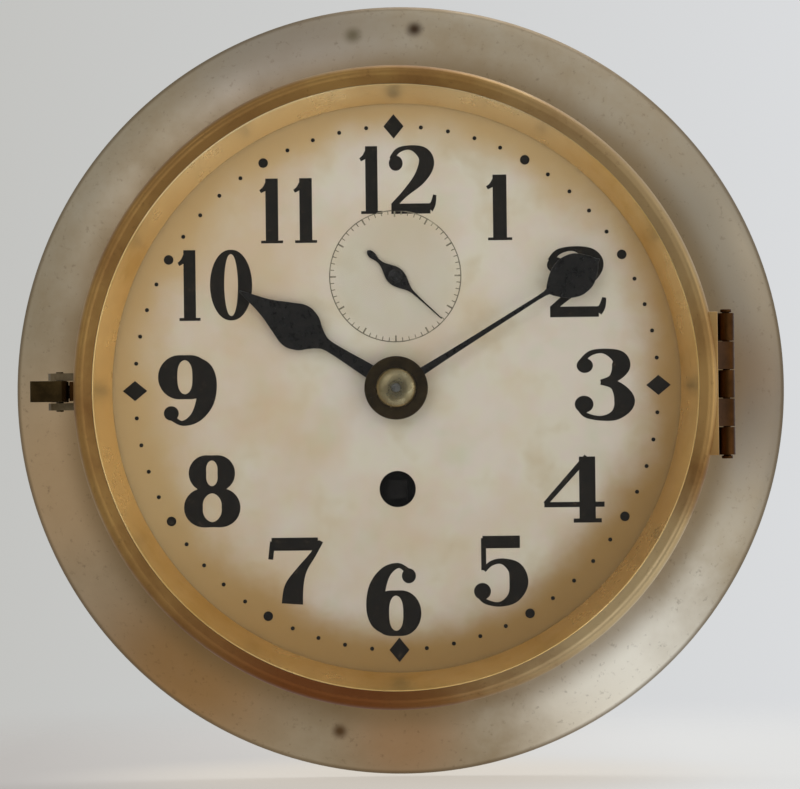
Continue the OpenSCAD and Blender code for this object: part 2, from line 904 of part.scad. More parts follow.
// Domed nut that holds the minute hand
module hand_nut() {
  color([0.80, 0.66, 0.38])
    face()
      difference() {
        turned([
          [0, dial_level + 5.4],
          [nut_radius, dial_level + 5.4],
          [nut_radius, dial_level + 6.2],
          [0.93 * nut_radius, dial_level + 6.9],
          [0.74 * nut_radius, dial_level + 7.4],
          [0.45 * nut_radius, dial_level + 7.7],
          [0, dial_level + 7.7]
        ]);
        rod(centre_at, 1.2 + snug, dial_level + 4, dial_level + 9);
      }
}

module minute_wheel() {
  color([0.84, 0.66, 0.34])
    face()
      difference() {
        union() {
          train_wheel(minute_at, minute_teeth, motion_module, minute_wheel_turn,
                      front_top + 1.3, front_top + 2.5, 0.5, 3.2, 4);
          pinion(minute_at, minute_leaves, hour_module, 0, front_top + 2.4, front_top + 5.4);
          rod(minute_at, 1.5, front_top + 1.3, front_top + 5.4);
        }
        rod(minute_at, 0.9 + running, front_top, front_top + 8);
      }
}

module hour_wheel() {
  color([0.84, 0.66, 0.34])
    face()
      difference() {
        union() {
          train_wheel(centre_at, hour_teeth, hour_module, hour_wheel_turn,
                      front_top + 3.9, front_top + 5.1, 1.0, 4.0, 4);
          rod(centre_at, 2.9, front_top + 3.9, dial_level + 3.6);
        }
        rod(centre_at, 2.0 + running, front_top, dial_level + 6);
      }
}

module second_arbor() {
  color([0.60, 0.61, 0.64])
    face() {
      rod(second_at, 0.5, back_low + 0.2, front_top - 0.2);
      rod(second_at, 1.0, back_top + 0.25, front_low - 0.3);
      pinion(second_at, slow_leaves, great_module, second_pinion_turn,
             back_top + 1.0, back_top + 4.6);
      rod(second_at, 1.6, front_low - 7.2, front_low - 5.2);
    }
}

module second_wheel() {
  color([0.84, 0.66, 0.34])
    face()
      train_wheel(second_at, second_teeth, second_module, 0, front_low - 5.2, front_low - 4.0, 1.0, 3.6, 4);
}

module third_arbor() {
  color([0.60, 0.61, 0.64])
    face() {
      rod(third_at, 0.5, back_low + 0.2, front_top - 0.2);
      rod(third_at, 0.9, back_top + 0.25, front_low - 0.3);
      pinion(third_at, fast_leaves, centre_module, third_pinion_turn,
             front_low - 3.6, front_low - 1.2);
      rod(third_at, 1.5, back_top + 14.4, back_top + 16);
    }
}

module third_wheel() {
  color([0.84, 0.66, 0.34])
    face()
      train_wheel(third_at, third_teeth, third_module, 0, back_top + 16, back_top + 17.1, 0.9, 3.2, 5);
}

module fourth_arbor() {
  color([0.60, 0.61, 0.64])
    face() {
      rod(fourth_at, 0.5, back_low + 0.2, back_top + 1);
      rod(fourth_at, 0.9, back_top + 0.25, front_low - 0.3);
      rod(fourth_at, 0.6, front_low - 0.5, dial_level + 1.3);
      pinion(fourth_at, fast_leaves, third_module, fourth_pinion_turn,
             back_top + 15.4, back_top + 17.7);
      rod(fourth_at, 1.5, back_top + 8.6, back_top + 10);
    }
}

module fourth_wheel() {
  color([0.84, 0.66, 0.34])
    face()
      train_wheel(fourth_at, fourth_teeth, fourth_module, 0, back_top + 10, back_top + 11, 0.9, 2.8, 5);
}

// Small hand: a spindle in the middle, a thin pointer, a small counterweight
function seconds_half() =
  let (l = seconds_hand_length)
  [
    [0.10, -0.60 * l],
    [0.75, -0.56 * l],
    [0.95, -0.48 * l],
    [0.50, -0.38 * l],
    [0.70, -0.27 * l],
    [1.50, -0.17 * l],
    [2.30, -0.06 * l],
    [2.40, 0.05 * l],
    [1.70, 0.17 * l],
    [0.75, 0.29 * l],
    [0.30, 0.45 * l],
    [0.14, l]
  ];

module seconds_hand() {
  color([0.06, 0.06, 0.07])
    face()
      translate([fourth_at[0], fourth_at[1], 0])
        rotate([0, 0, -seconds_angle])
          difference() {
            union() {
              slab(both_sides(seconds_half()), dial_level + 0.6, dial_level + 0.95);
              rod([0, 0], 1.9, dial_level + 0.5, dial_level + 1.3);
              rod([0, 0], 1.1, dial_level - 0.6, dial_level + 0.9);
            }
            rod([0, 0], 0.6 + snug, dial_level - 2, dial_level + 2);
          }
}

module escape_arbor() {
  color([0.60, 0.61, 0.64])
    face() {
      rod(escape_at, 0.5, back_low + 0.2, front_top - 0.2);
      rod(escape_at, 0.7, back_top + 0.25, front_low - 0.3);
      pinion(escape_at, escape_leaves, fourth_module, escape_pinion_turn,
             back_top + 9.3, back_top + 11.8);
      rod(escape_at, 1.2, back_top + 3.2, back_top + 4.4);
    }
}

// Fifteen raked teeth
module escape_wheel() {
  p = 360 / escape_teeth;
  color([0.84, 0.66, 0.34])
    face()
      translate([escape_at[0], escape_at[1], 0])
        difference() {
          slab([for (i = [0:escape_teeth - 1]) each [
            polar(escape_r - 1.9, i * p),
            polar(escape_r - 1.2, i * p + 0.20 * p),
            polar(escape_r - 0.3, i * p + 0.44 * p),
            polar(escape_r, i * p + 0.56 * p),
            polar(escape_r - 1.2, i * p + 0.40 * p),
            polar(escape_r - 1.9, i * p + 0.36 * p)
          ]], back_top + 2.2, back_top + 3.2);
          difference() {
            rod([0, 0], escape_r - 2.9, back_top, back_top + 5);
            rod([0, 0], 2.0, back_top - 1, back_top + 6);
            for (i = [0:3])
              rotate([0, 0, i * 90])
                translate([0, -0.5, back_top - 1])
                  cube([escape_r - 2, 1.0, 6]);
          }
          rod([0, 0], 0.7 + snug, back_top, back_top + 5);
        }
}

// Mainspring barrel

module barrel_drum() {
  r = great_teeth * great_module / 2;
  color([0.82, 0.64, 0.32])
    face()
      translate([barrel_at[0], barrel_at[1], 0])
        difference() {
          union() {
            slab(wheel_outline(great_teeth, great_module, 0), back_top + 1.6, back_top + 3.6);
            rod([0, 0], r - 2.3, back_top + 1.6, front_low - 7.0);
          }
          rod([0, 0], r - 3.7, back_top + 3.6, front_low);
          rod([0, 0], r - 3.1, front_low - 8.0, front_low);
          rod([0, 0], 2.5 + running, back_top, front_low);
        }
}

module barrel_cover() {
  r = great_teeth * great_module / 2;
  color([0.84, 0.66, 0.34])
    face()
      translate([barrel_at[0], barrel_at[1], 0])
        difference() {
          rod([0, 0], r - 3.1 - snug, front_low - 8.0, front_low - 6.6);
          rod([0, 0], 3.4 + running, back_top, front_low);
          for (i = [0:2])
            rod(polar(10.5, 30 + 120 * i), 1.2, front_low - 9, front_low);
        }
}

module mainspring() {
  r = great_teeth * great_module / 2;
  color([0.36, 0.38, 0.44])
    face()
      translate([barrel_at[0], barrel_at[1], 0])
        spiral(4.5, r - 4.4, 9, 0.5, back_top + 4.0, front_low - 8.4, 0);
}

// Arbor of the barrel, with the square that takes the key
module barrel_arbor() {
  color([0.58, 0.59, 0.62])
    face()
      translate([barrel_at[0], barrel_at[1], 0]) {
        rod([0, 0], 2.0, back_low + 0.1, back_top + 1);
        rod([0, 0], 2.5, back_top + 0.3, back_top + 3.8);
        rod([0, 0], 4.0, back_top + 3.8, front_low - 8.2);
        rod([0, 0], 3.4, front_low - 8.3, front_low - 0.3);
        rod([0, 0], 2.9, front_low - 0.4, front_top + 0.3);
        translate([-winding_square / 2, -winding_square / 2, front_top + 0.2])
          cube([winding_square, winding_square, motion_gap - 1.2]);
      }
}

module ratchet_wheel() {
  teeth = 24;
  p = 360 / teeth;
  color([0.66, 0.67, 0.70])
    face()
      translate([barrel_at[0], barrel_at[1], 0])
        difference() {
          slab([for (i = [0:teeth - 1]) each [
            polar(ratchet_r - 0.9, i * p),
            polar(ratchet_r - 0.4, i * p + 0.5 * p),
            polar(ratchet_r, i * p + 0.94 * p),
            polar(ratchet_r - 0.9, i * p + 0.97 * p)
          ]], front_top + 0.35, front_top + 1.75);
          translate([-winding_square / 2 - snug, -winding_square / 2 - snug, front_top])
            cube([winding_square + 2 * snug, winding_square + 2 * snug, 4]);
        }
}

// Click that stops the ratchet from running back, lifted just clear of the teeth
click_tip = barrel_at + polar(ratchet_r + 0.55, 96);
module click() {
  a = heading(click_at, click_tip);
  l = norm(click_tip - click_at);
  color([0.62, 0.63, 0.66])
    face()
      translate([click_at[0], click_at[1], 0])
        difference() {
          union() {
            rotate([0, 0, a])
              slab([
                [0, 2.0],
                [0.55 * l, 1.7],
                [l - 0.4, 0.9],
                [l, -0.05],
                [l - 1.2, 0.0],
                [0.5 * l, -0.7],
                [0, -2.0]
              ], front_top + 0.35, front_top + 1.55);
            rod([0, 0], 2.4, front_top + 0.35, front_top + 1.55);
          }
          rod([0, 0], 1.3 + running, front_top, front_top + 3);
        }
}

module click_screw() {
  color([0.25, 0.28, 0.38])
    face() {
      screw(click_at, front_top + 1.75, 1, 2.1, 1.0, 1.3, 1.75);
      rod(click_at, 0.8, front_low + 0.2, front_top + 0.2);
    }
}

// Flat spring that presses on the back of the click
click_spring_at = click_at + [-8.5, -5.0];
module click_spring() {
  color([0.45, 0.46, 0.50])
    face() {
      rod(click_spring_at, 1.6, front_top, front_top + 1.4);
      rod(click_spring_at, 0.7, front_low + 0.2, front_top + 0.5);
      slab([
        click_spring_at + [-1.4, 0.2],
        click_spring_at + [-0.9, 3.8],
        click_spring_at + [1.6, 7.1],
        click_spring_at + [5.0, 8.55],
        click_spring_at + [8.2, 8.30],
        click_spring_at + [8.15, 7.95],
        click_spring_at + [5.1, 8.2],
        click_spring_at + [1.9, 6.8],
        click_spring_at + [-0.4, 3.6],
        click_spring_at + [-0.8, 0.2]
      ], front_top + 0.4, front_top + 1.3);
    }
}

// Escapement

lever_low = back_top + 2.15;
lever_high = back_top + 3.25;
function along(d, side) = pallet_at + d * unit(lever_heading) + side * unit(lever_heading + 90);
function banking_spot(s) = along(6.6, s * 2.0);

// Lever with two pallet arms, a slim body and a fork
module pallet_lever() {
  color([0.70, 0.71, 0.73])
    face()
      difference() {
        translate([pallet_at[0], pallet_at[1], 0])
          rotate([0, 0, lever_heading]) {
            for (s = [-1, 1]) {
              bar([0, 0], [-0.3, s * 5.3], 1.7, lever_low, lever_high);
              translate([-pallet_reach, 0, lever_low])
                rotate([0, 0, s * 30])
                  translate([escape_r + 1.0, -1.1, 0])
                    cube([1.8, 2.2, lever_high - lever_low]);
            }
            slab([
              [-0.8, -0.7],
              [9.4, -0.6],
              [10.4, -1.3],
              [11.6, -1.2],
              [10.7, -0.45],
              [10.2, -0.42],
              [10.2, 0.42],
              [10.7, 0.45],
              [11.6, 1.2],
              [10.4, 1.3],
              [9.4, 0.6],
              [-0.8, 0.7]
            ], lever_low, lever_high);
            rod([0, 0], 1.1, lever_low, lever_high);
          }
        rod(pallet_at, 0.6 + snug, lever_low - 1, lever_high + 1);
        for (s = [-1, 1])
          stone_shape(s, lever_low - 1, lever_high + 1, snug);
      }
}

module stone_shape(s, low, high, extra) {
  translate([pallet_at[0], pallet_at[1], 0])
    rotate([0, 0, lever_heading])
      translate([-pallet_reach, 0, low])
        rotate([0, 0, s * 30])
          translate([escape_r + 0.6 - extra, -0.5 - extra, 0])
            cube([1.5 + 2 * extra, 1.0 + 2 * extra, high - low]);
}

module pallet_stones() {
  color([0.62, 0.08, 0.14])
    face()
      for (s = [-1, 1])
        stone_shape(s, lever_low + 0.1, lever_high - 0.1, 0);
}

module pallet_arbor() {
  color([0.60, 0.61, 0.64])
    face() {
      rod(pallet_at, 0.4, back_low + 0.2, bridge_high - 0.1);
      rod(pallet_at, 0.6, back_top + 0.2, bridge_low - 0.2);
      rod(pallet_at, 1.1, lever_high, lever_high + 0.9);
    }
}

module banking_pins() {
  color([0.70, 0.58, 0.32])
    face()
      for (s = [-1, 1])
        rod(banking_spot(s), 0.4, back_low, lever_high + 0.4);
}

bridge_low = back_top + 6.2;
bridge_high = bridge_low + 1.5;
// Inner bridge for the front pivots of the lever and the balance
module escapement_bridge() {
  color([0.80, 0.64, 0.32])
    face()
      difference() {
        union() {
          bar(bridge_foot_b, pallet_at, 4.0, bridge_low, bridge_high);
          bar(pallet_at, bridge_foot_a, 4.0, bridge_low, bridge_high);
          rod(bridge_foot_a, 2.4, back_top, bridge_high);
          rod(bridge_foot_b, 2.4, back_top, bridge_high);
        }
        rod(pallet_at, 0.4 + running, bridge_low - 1, bridge_high + 1);
        rod(balance_at, 0.4 + running, bridge_low - 1, bridge_high + 1);
        for (p = [bridge_foot_a, bridge_foot_b])
          rod(p, 0.8 + snug, back_top - 1, bridge_high + 1);
      }
}

// Two screws of the bridge and the one of the cock
module escapement_screws() {
  color([0.25, 0.28, 0.38])
    face() {
      for (p = [bridge_foot_a, bridge_foot_b])
        screw(p, bridge_high, 1, 1.5, 0.9, 0.8, bridge_high - back_low - 0.2);
      screw(cock_foot, cock_low, -1, 1.7, 0.8, 0.8, back_top - cock_low - 0.2);
    }
}

spring_low = back_low - 4.6;
cock_high = spring_low - 0.7;
cock_low = cock_high - 1.5;
module balance_cock() {
  color([0.82, 0.66, 0.34])
    face()
      difference() {
        union() {
          bar(cock_foot, balance_at, 5.4, cock_low, cock_high);
          rod(cock_foot, 2.9, cock_low, back_low);
        }
        rod(balance_at, 0.4 + running, cock_low - 1, cock_high + 1);
        rod(cock_foot, 0.8 + snug, cock_low - 1, back_low + 1);
        // step for the index ring
        difference() {
          rod(balance_at, 3.4, cock_high - 0.6, cock_high + 1);
          rod(balance_at, 1.5, cock_high - 1, cock_high + 2);
        }
        rod(stud_at, 0.5 + snug, cock_low - 1, cock_high + 1);
      }
}

// Flat balance spring, pinned at the stud, with the index pins half a turn before it
hair_in = 1.5;
hair_out = 5.5;
hair_turns = 7;
hair_strip = 0.12;
stud_turn = -25;
stud_at = balance_at + polar(hair_out + hair_strip + 0.51, stud_turn);
curb_r = hair_in + (hair_out - hair_in) * (hair_turns - 0.5) / hair_turns + hair_strip / 2;
module hairspring() {
  color([0.30, 0.36, 0.55])
    face()
      translate([balance_at[0], balance_at[1], 0])
        spiral(hair_in, hair_out, hair_turns, hair_strip, spring_low, spring_low + 0.7, stud_turn);
}

module hairspring_stud() {
  color([0.60, 0.61, 0.64])
    face() {
      rod(stud_at, 0.5, cock_low + 0.1, spring_low + 0.9);
    }
}

module balance_wheel() {
  low = back_low - 3.1;
  color([0.86, 0.70, 0.38])
    face()
      translate([balance_at[0], balance_at[1], 0])
        difference() {
          union() {
            rod([0, 0], balance_radius, low, low + 1.5);
            for (i = [0:7])
              rotate([0, 0, 22.5 + 45 * i])
                translate([balance_radius - 0.3, 0, low + 0.75])
                  rotate([0, 90, 0])
                    cylinder(r = 0.5, h = 0.9);
          }
          difference() {
            rod([0, 0], balance_radius - 1.5, low - 1, low + 3);
            rod([0, 0], 2.0, low - 1, low + 3);
            for (i = [0:1])
              rotate([0, 0, 90 * i + 30])
                translate([-balance_radius, -0.7, low - 2])
                  cube([2 * balance_radius, 1.4, 6]);
          }
          rod([0, 0], 0.8 + snug, low - 1, low + 3);
        }
}

// Staff with its collet, hub and roller
module balance_staff() {
  color([0.60, 0.61, 0.64])
    face() {
      rod(balance_at, 0.4, cock_low + 0.1, bridge_high - 0.1);
      rod(balance_at, 0.8, cock_high + 0.2, bridge_low - 0.2);
      rod(balance_at, 1.3, spring_low - 0.1, spring_low + 0.8);
      rod(balance_at, 1.4, back_low - 1.6, back_low - 1.0);
      rod(balance_at, 3.0, lever_high + 0.75, lever_high + 1.4);
      rod(balance_at - 2.2 * unit(lever_heading), 0.35, lever_high + 0.2, lever_high + 1);
    }
}

// Index on the balance cock, turned by hand to set the rate
module regulator_index() {
  color([0.55, 0.57, 0.62])
    face()
      translate([balance_at[0], balance_at[1], 0])
        difference() {
          union() {
            rod([0, 0], 2.6, cock_high - 0.5, cock_high);
            rotate([0, 0, stud_turn + 180]) {
              translate([0, -0.6, cock_high - 0.5])
                cube([7.4, 1.2, 0.5]);
              // two curb pins astride the outer coil
              for (s = [-1, 1])
                rod([curb_r + s * 0.28, 0], 0.12, cock_high - 0.2, spring_low + 0.4);
            }
          }
          rod([0, 0], 1.5 + running, cock_high - 2, cock_high + 2);
        }
}

case_body();
hinge_leaf_case();
hinge_pin();
latch_bracket();
latch_pin();
latch_spring();
fitting_screws();
movement_posts();
post_screws();
dial();
dial_feet();
dial_pins();
back_plate();
front_plate();
plate_pillars();
pillar_screws();
minute_wheel_post();
click_screw();
click_spring();
balance_cock();
hairspring();
hairspring_stud();
escapement_bridge();
escapement_screws();
banking_pins();
door_ring();
door_glass();
reflector_ring();
reflector_screws();
door_strike();
latch_lever();
centre_arbor();
centre_wheel();
cannon_pinion();
minute_hand();
hand_nut();
hour_wheel();
hour_hand();
minute_wheel();
second_arbor();
second_wheel();
third_arbor();
third_wheel();
fourth_arbor();
fourth_wheel();
seconds_hand();
escape_arbor();
escape_wheel();
barrel_drum();
barrel_cover();
mainspring();
barrel_arbor();
ratchet_wheel();
click();
pallet_lever();
pallet_stones();
pallet_arbor();
balance_wheel();
balance_staff();
regulator_index();
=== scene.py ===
"""Ship's clock with a six inch dial: worn nickel case, brown brass door, silvered dial."""
import math

import bpy
from mathutils import Matrix, Vector


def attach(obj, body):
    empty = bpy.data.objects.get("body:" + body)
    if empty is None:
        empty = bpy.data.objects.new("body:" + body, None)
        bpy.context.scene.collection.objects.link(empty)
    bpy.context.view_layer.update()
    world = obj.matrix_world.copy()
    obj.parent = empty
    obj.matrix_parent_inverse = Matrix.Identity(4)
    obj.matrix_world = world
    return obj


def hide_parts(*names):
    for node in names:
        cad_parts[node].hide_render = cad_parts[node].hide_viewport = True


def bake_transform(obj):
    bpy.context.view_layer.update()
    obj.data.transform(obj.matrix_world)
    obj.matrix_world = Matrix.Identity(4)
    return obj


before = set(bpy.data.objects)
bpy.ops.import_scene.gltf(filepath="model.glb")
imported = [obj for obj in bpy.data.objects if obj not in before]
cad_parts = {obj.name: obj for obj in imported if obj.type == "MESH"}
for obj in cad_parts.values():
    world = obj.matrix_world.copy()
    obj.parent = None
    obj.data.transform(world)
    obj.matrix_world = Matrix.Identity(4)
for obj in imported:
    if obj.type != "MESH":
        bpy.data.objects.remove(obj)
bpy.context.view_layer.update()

MM = 0.001
# points nearer to each other than this, in metres, are one
WELD = 2e-6
# sides of the large turned pieces and of small rods
TURN_STEPS, ROD_STEPS = 256, 48
# mm: a turned piece that reaches its axis is closed from this radius in
EYE = 0.6
# degrees: edges sharper than this stay sharp in the shading
SHARP = 35

# Sizes below are in mm unless said otherwise. Heights are above the wall side of the back.
DIAL_BACK, DIAL_FACE = 49, 50.0
DIAL_RADIUS = 80.4
WIND_Y, SECONDS_Y = -27.1, 30.0

DRUM_RADIUS, DRUM_BORE, DRUM_TOP = 82.5, 81, 61
FLANGE_RADIUS = 106.46
BACK_THICKNESS = 2.5

DOOR_RADIUS = 85.5
PANE_RADIUS, PANE_BACK, PANE_FRONT = 81.8, 64.1, 66.5
CONE_SEAT = 63.4

# axis and half length of the hinge, and its five knuckles
HINGE_X, HINGE_H = 88.2, 56.0
HINGE_HALF = 19
KNUCKLE_PITCH, KNUCKLE_LENGTH, KNUCKLE_PLAY = 7.6, 7.36, 0.12
KNUCKLE_RADIUS, PIN_BORE = 2.2, 1.1

# height of the floor in the frame, in metres, a little under the flange
FLOOR_Z = -0.1072


def deselect():
    if bpy.context.object and bpy.context.object.mode == "EDIT":
        bpy.ops.object.mode_set(mode="OBJECT")
    bpy.ops.object.select_all(action="DESELECT")


def pick(piece):
    deselect()
    piece.select_set(True)
    bpy.context.view_layer.objects.active = piece


def place(x, y, h):
    """A point of the clock, x right, y towards twelve, h towards the viewer, in metres."""
    return Vector((x * MM, -h * MM, y * MM))


def polar(radius, degrees):
    """A point of the dial plane at a clock angle: 0 at twelve, 90 at three."""
    a = math.radians(degrees)
    return radius * math.sin(a), radius * math.cos(a)


# ---------------------------------------------------------------- camera

# metres: a little right of the clock's axis and below it
CAMERA_AT, CAMERA_AIM = (0.0284, -1.4206, -0.0169), (0.0, -0.005, -0.00125)
CAMERA_ROLL = -0.66
LENS, SENSOR_WIDTH = 229.9, 36

deselect()
bpy.ops.object.camera_add(location=CAMERA_AT)
camera = bpy.context.object
camera.name = "camera_front"
camera.rotation_mode = "XYZ"
look = (Vector(CAMERA_AIM) - camera.location).to_track_quat("-Z", "Y").to_matrix()
roll = Matrix.Rotation(math.radians(CAMERA_ROLL), 3, "Z")
camera.rotation_euler = (look @ roll).to_euler()
camera.data.lens = LENS
camera.data.sensor_width = SENSOR_WIDTH
camera.data.sensor_fit = "HORIZONTAL"
camera.data.clip_start = 0.05
camera.data.clip_end = 60
bpy.context.scene.camera = camera
bpy.context.scene.view_settings.view_transform = "Standard"


# ---------------------------------------------------------------- shaping

def edit_all(piece):
    """Opens a piece for editing, all of it selected and its double points merged."""
    pick(piece)
    bpy.ops.object.mode_set(mode="EDIT")
    bpy.ops.mesh.select_all(action="SELECT")
    bpy.ops.mesh.remove_doubles(threshold=WELD)


def finish_faces(piece, smooth=SHARP):
    """Merges doubles, turns the faces outwards and smooths all but the real edges."""
    edit_all(piece)
    bpy.ops.mesh.normals_make_consistent(inside=False)
    bpy.ops.object.mode_set(mode="OBJECT")
    bpy.ops.object.shade_smooth_by_angle(angle=math.radians(smooth))
    return piece


def apply_transform():
    """Moves the place and turn of the active piece into its mesh."""
    bpy.ops.object.transform_apply(location=True, rotation=True, scale=True)


def new_object(name, data):
    piece = bpy.data.objects.new(name, data)
    bpy.context.scene.collection.objects.link(piece)
    return piece


def eased(corners):
    """Each (radius, height, rounding) corner of a section, rounded in four short steps.

    A rounding takes no more than 0.45 of the side next to it.
    """
    line = []
    for i, (r, h, ease) in enumerate(corners):
        here = Vector((r, h))
        if ease == 0:
            line.append((r, h))
            continue
        back = Vector(corners[i - 1][:2]) - here
        ahead = Vector(corners[(i + 1) % len(corners)][:2]) - here
        first = here + back.normalized() * min(ease, back.length * 0.45)
        last = here + ahead.normalized() * min(ease, ahead.length * 0.45)
        for k in range(5):
            t = k / 4
            p = first * (1 - t) ** 2 + here * 2 * t * (1 - t) + last * t * t
            line.append((p.x, p.y))
    return line


def flowing(points, steps):
    """A smooth line through the points, by the Catmull-Rom rule."""
    line = []
    for i in range(len(points) - 1):
        a = Vector(points[max(i - 1, 0)])
        b = Vector(points[i])
        c = Vector(points[i + 1])
        d = Vector(points[min(i + 2, len(points) - 1)])
        for k in range(steps):
            t = k / steps
            p = 0.5 * (2 * b + (c - a) * t + (2 * a - 5 * b + 4 * c - d) * t ** 2
                       + (3 * b - a - 3 * c + d) * t ** 3)
            line.append(tuple(p))
    line.append(tuple(points[-1]))
    return line


def turned(name, section, centre=(0, 0), closed=True, steps=TURN_STEPS):
    """Draws a circle out ring by ring through the (radius, height) section, as on a lathe."""
    deselect()
    r0, h0 = section[0]
    bpy.ops.mesh.primitive_circle_add(vertices=steps, radius=r0 * MM,
                                      location=place(*centre, h0),
                                      rotation=(math.pi / 2, 0, 0))
    piece = bpy.context.object
    piece.name = name
    apply_transform()
    bpy.ops.object.mode_set(mode="EDIT")
    bpy.ops.mesh.select_all(action="SELECT")
    if not closed:
        bpy.ops.mesh.extrude_region_move()
        bpy.ops.mesh.merge(type="CENTER")
        bpy.ops.mesh.select_all(action="DESELECT")
        bpy.ops.mesh.select_non_manifold(extend=False, use_wire=False, use_boundary=True,
                                         use_multi_face=False, use_non_contiguous=False,
                                         use_verts=False)
    for r, h in section[1:] + (section[:1] if closed else []):
        bpy.ops.mesh.extrude_region_move(
            TRANSFORM_OT_translate={"value": (0, (h0 - h) * MM, 0)})
        bpy.ops.transform.resize(value=(r / r0, 1, r / r0), center_override=place(*centre, h))
        r0, h0 = r, h
    if not closed:
        bpy.ops.mesh.extrude_region_move()
        bpy.ops.mesh.merge(type="CENTER")
    return finish_faces(piece)


def bevel_edges(piece, width, angle):
    """Rounds every edge sharper than the angle by a bevel modifier, applied."""
    pick(piece)
    m = piece.modifiers.new("edge_break", "BEVEL")
    m.width = width * MM
    m.segments = 2
    m.limit_method = "ANGLE"
    m.angle_limit = math.radians(angle)
    m.use_clamp_overlap = True
    m.miter_outer = "MITER_ARC"
    bpy.ops.object.modifier_apply(modifier=m.name)


def spun_rod(name, start, end, radius, ease=0.0):
    """A round rod between two points of the frame, its rims bevelled."""
    deselect()
    axis = end - start
    bpy.ops.mesh.primitive_cylinder_add(vertices=ROD_STEPS, radius=radius * MM,
                                        depth=axis.length, location=(start + end) / 2,
                                        rotation=axis.to_track_quat("Z", "Y").to_euler())
    piece = bpy.context.object
    piece.name = name
    apply_transform()
    if ease:
        bevel_edges(piece, ease, 60)
    return finish_faces(piece)


def sheet(name, outlines, low, high, ease=0.12, centre=(0, 0), turn=0.0):
    """A flat piece sawn out of sheet: outlines on the dial plane, from height low to high."""
    curve = bpy.data.curves.new(name, "CURVE")
    curve.dimensions = "2D"
    curve.fill_mode = "BOTH"
    for outline in outlines:
        spline = curve.splines.new("POLY")
        spline.points.add(len(outline) - 1)
        for point, (x, y) in zip(spline.points, outline):
            point.co = (x * MM, y * MM, 0, 1)
        spline.use_cyclic_u = True
    curve.extrude = ((high - low) / 2 - ease) * MM
    curve.bevel_depth = ease * MM
    curve.offset = -ease * MM
    curve.bevel_resolution = 1
    pick(new_object(name, curve))
    bpy.ops.object.convert(target="MESH")
    piece = bpy.context.object
    piece.matrix_world = (Matrix.Translation(place(*centre, (low + high) / 2))
                          @ Matrix.Rotation(math.radians(turn), 4, "Y")
                          @ Matrix.Rotation(math.pi / 2, 4, "X"))
    apply_transform()
    return finish_faces(piece)


def circle(radius, centre=(0, 0), steps=96):
    """The outline of a disc or hole for sheet()."""
    angles = [2 * math.pi * k / steps for k in range(steps)]
    return [(centre[0] + radius * math.cos(a), centre[1] + radius * math.sin(a))
            for a in angles]


def cut(piece, tool, operation="DIFFERENCE"):
    """Bores or joins the piece with the tool, which is used up."""
    pick(piece)
    m = piece.modifiers.new("cut", "BOOLEAN")
    m.operation = operation
    m.solver = "EXACT"
    m.object = tool
    bpy.ops.object.modifier_apply(modifier=m.name)
    bpy.data.objects.remove(tool)
    return finish_faces(piece)


def joined(name, parts):
    deselect()
    for part in parts:
        part.select_set(True)
    bpy.context.view_layer.objects.active = parts[0]
    if len(parts) > 1:
        bpy.ops.object.join()
    piece = bpy.context.object
    piece.name = name
    return piece


def dressed(name, width):
    """A copy of a CAD node with its triangles merged into faces and its edges broken."""
    piece = new_object(name + "_dressed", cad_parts[name].data.copy())
    piece.data.materials.clear()
    edit_all(piece)
    bpy.ops.mesh.dissolve_limited(angle_limit=math.radians(0.5), use_dissolve_boundaries=False)
    bpy.ops.object.mode_set(mode="OBJECT")
    bevel_edges(piece, width, SHARP)
    return finish_faces(piece)


def stood_up(piece, low):
    """Stands a piece drawn on the dial plane up: its outline as seen from six, from y = low."""
    piece.data.transform(Matrix(((1, 0, 0, 0), (0, 0, -1, 0), (0, -1, 0, low * MM),
                                 (0, 0, 0, 1))))
    return finish_faces(piece)


# ---------------------------------------------------------------- building materials

def linear(code):
    """A colour written as in a paint list, RRGGBB, as the linear values of a shader."""
    parts = [int(code[i:i + 2], 16) / 255 for i in (0, 2, 4)]
    return tuple(c / 12.92 if c <= 0.04045 else ((c + 0.055) / 1.055) ** 2.4
                 for c in parts) + (1.0,)


def node(tree, kind, settings=None, **links):
    """Adds a node and fills its inputs: in_3 is input number 3, and _ stands for a space."""
    made = tree.nodes.new(kind)
    for key, value in (settings or {}).items():
        setattr(made, key, value)
    for key, value in links.items():
        socket = made.inputs[int(key[3:]) if key.startswith("in_") else key.replace("_", " ")]
        if isinstance(value, bpy.types.NodeSocket):
            tree.links.new(value, socket)
        else:
            socket.default_value = value
    return made


def new_material(name):
    material = bpy.data.materials.new(name)
    material.use_nodes = True
    tree = material.node_tree
    tree.nodes.clear()
    return material, tree, tree.nodes.new("ShaderNodeTexCoord").outputs["Object"]


def surface(tree, shader):
    """Ends a material with this shader."""
    node(tree, "ShaderNodeOutputMaterial", Surface=shader.outputs[0])


def painted(tree, colour, **inputs):
    """Ends a material with one Principled shader."""
    surface(tree, node(tree, "ShaderNodeBsdfPrincipled", Base_Color=colour, **inputs))


def noise(tree, coords, size, detail=2.0, roughness=0.5):
    """Clouds of about this size in mm."""
    return node(tree, "ShaderNodeTexNoise", Vector=coords, Scale=1000 / size, Detail=detail,
                Roughness=roughness).outputs["Fac"]


def calc(tree, operation, *values):
    """One step of arithmetic on numbers or sockets."""
    numbered = {"in_%d" % i: value for i, value in enumerate(values)}
    return node(tree, "ShaderNodeMath", {"operation": operation}, **numbered).outputs[0]


def measure(tree, operation, coords, other=(0, 0, 0)):
    """One number from vectors: LENGTH, DISTANCE or DOT_PRODUCT."""
    return node(tree, "ShaderNodeVectorMath", {"operation": operation}, in_0=coords,
                in_1=other).outputs["Value"]


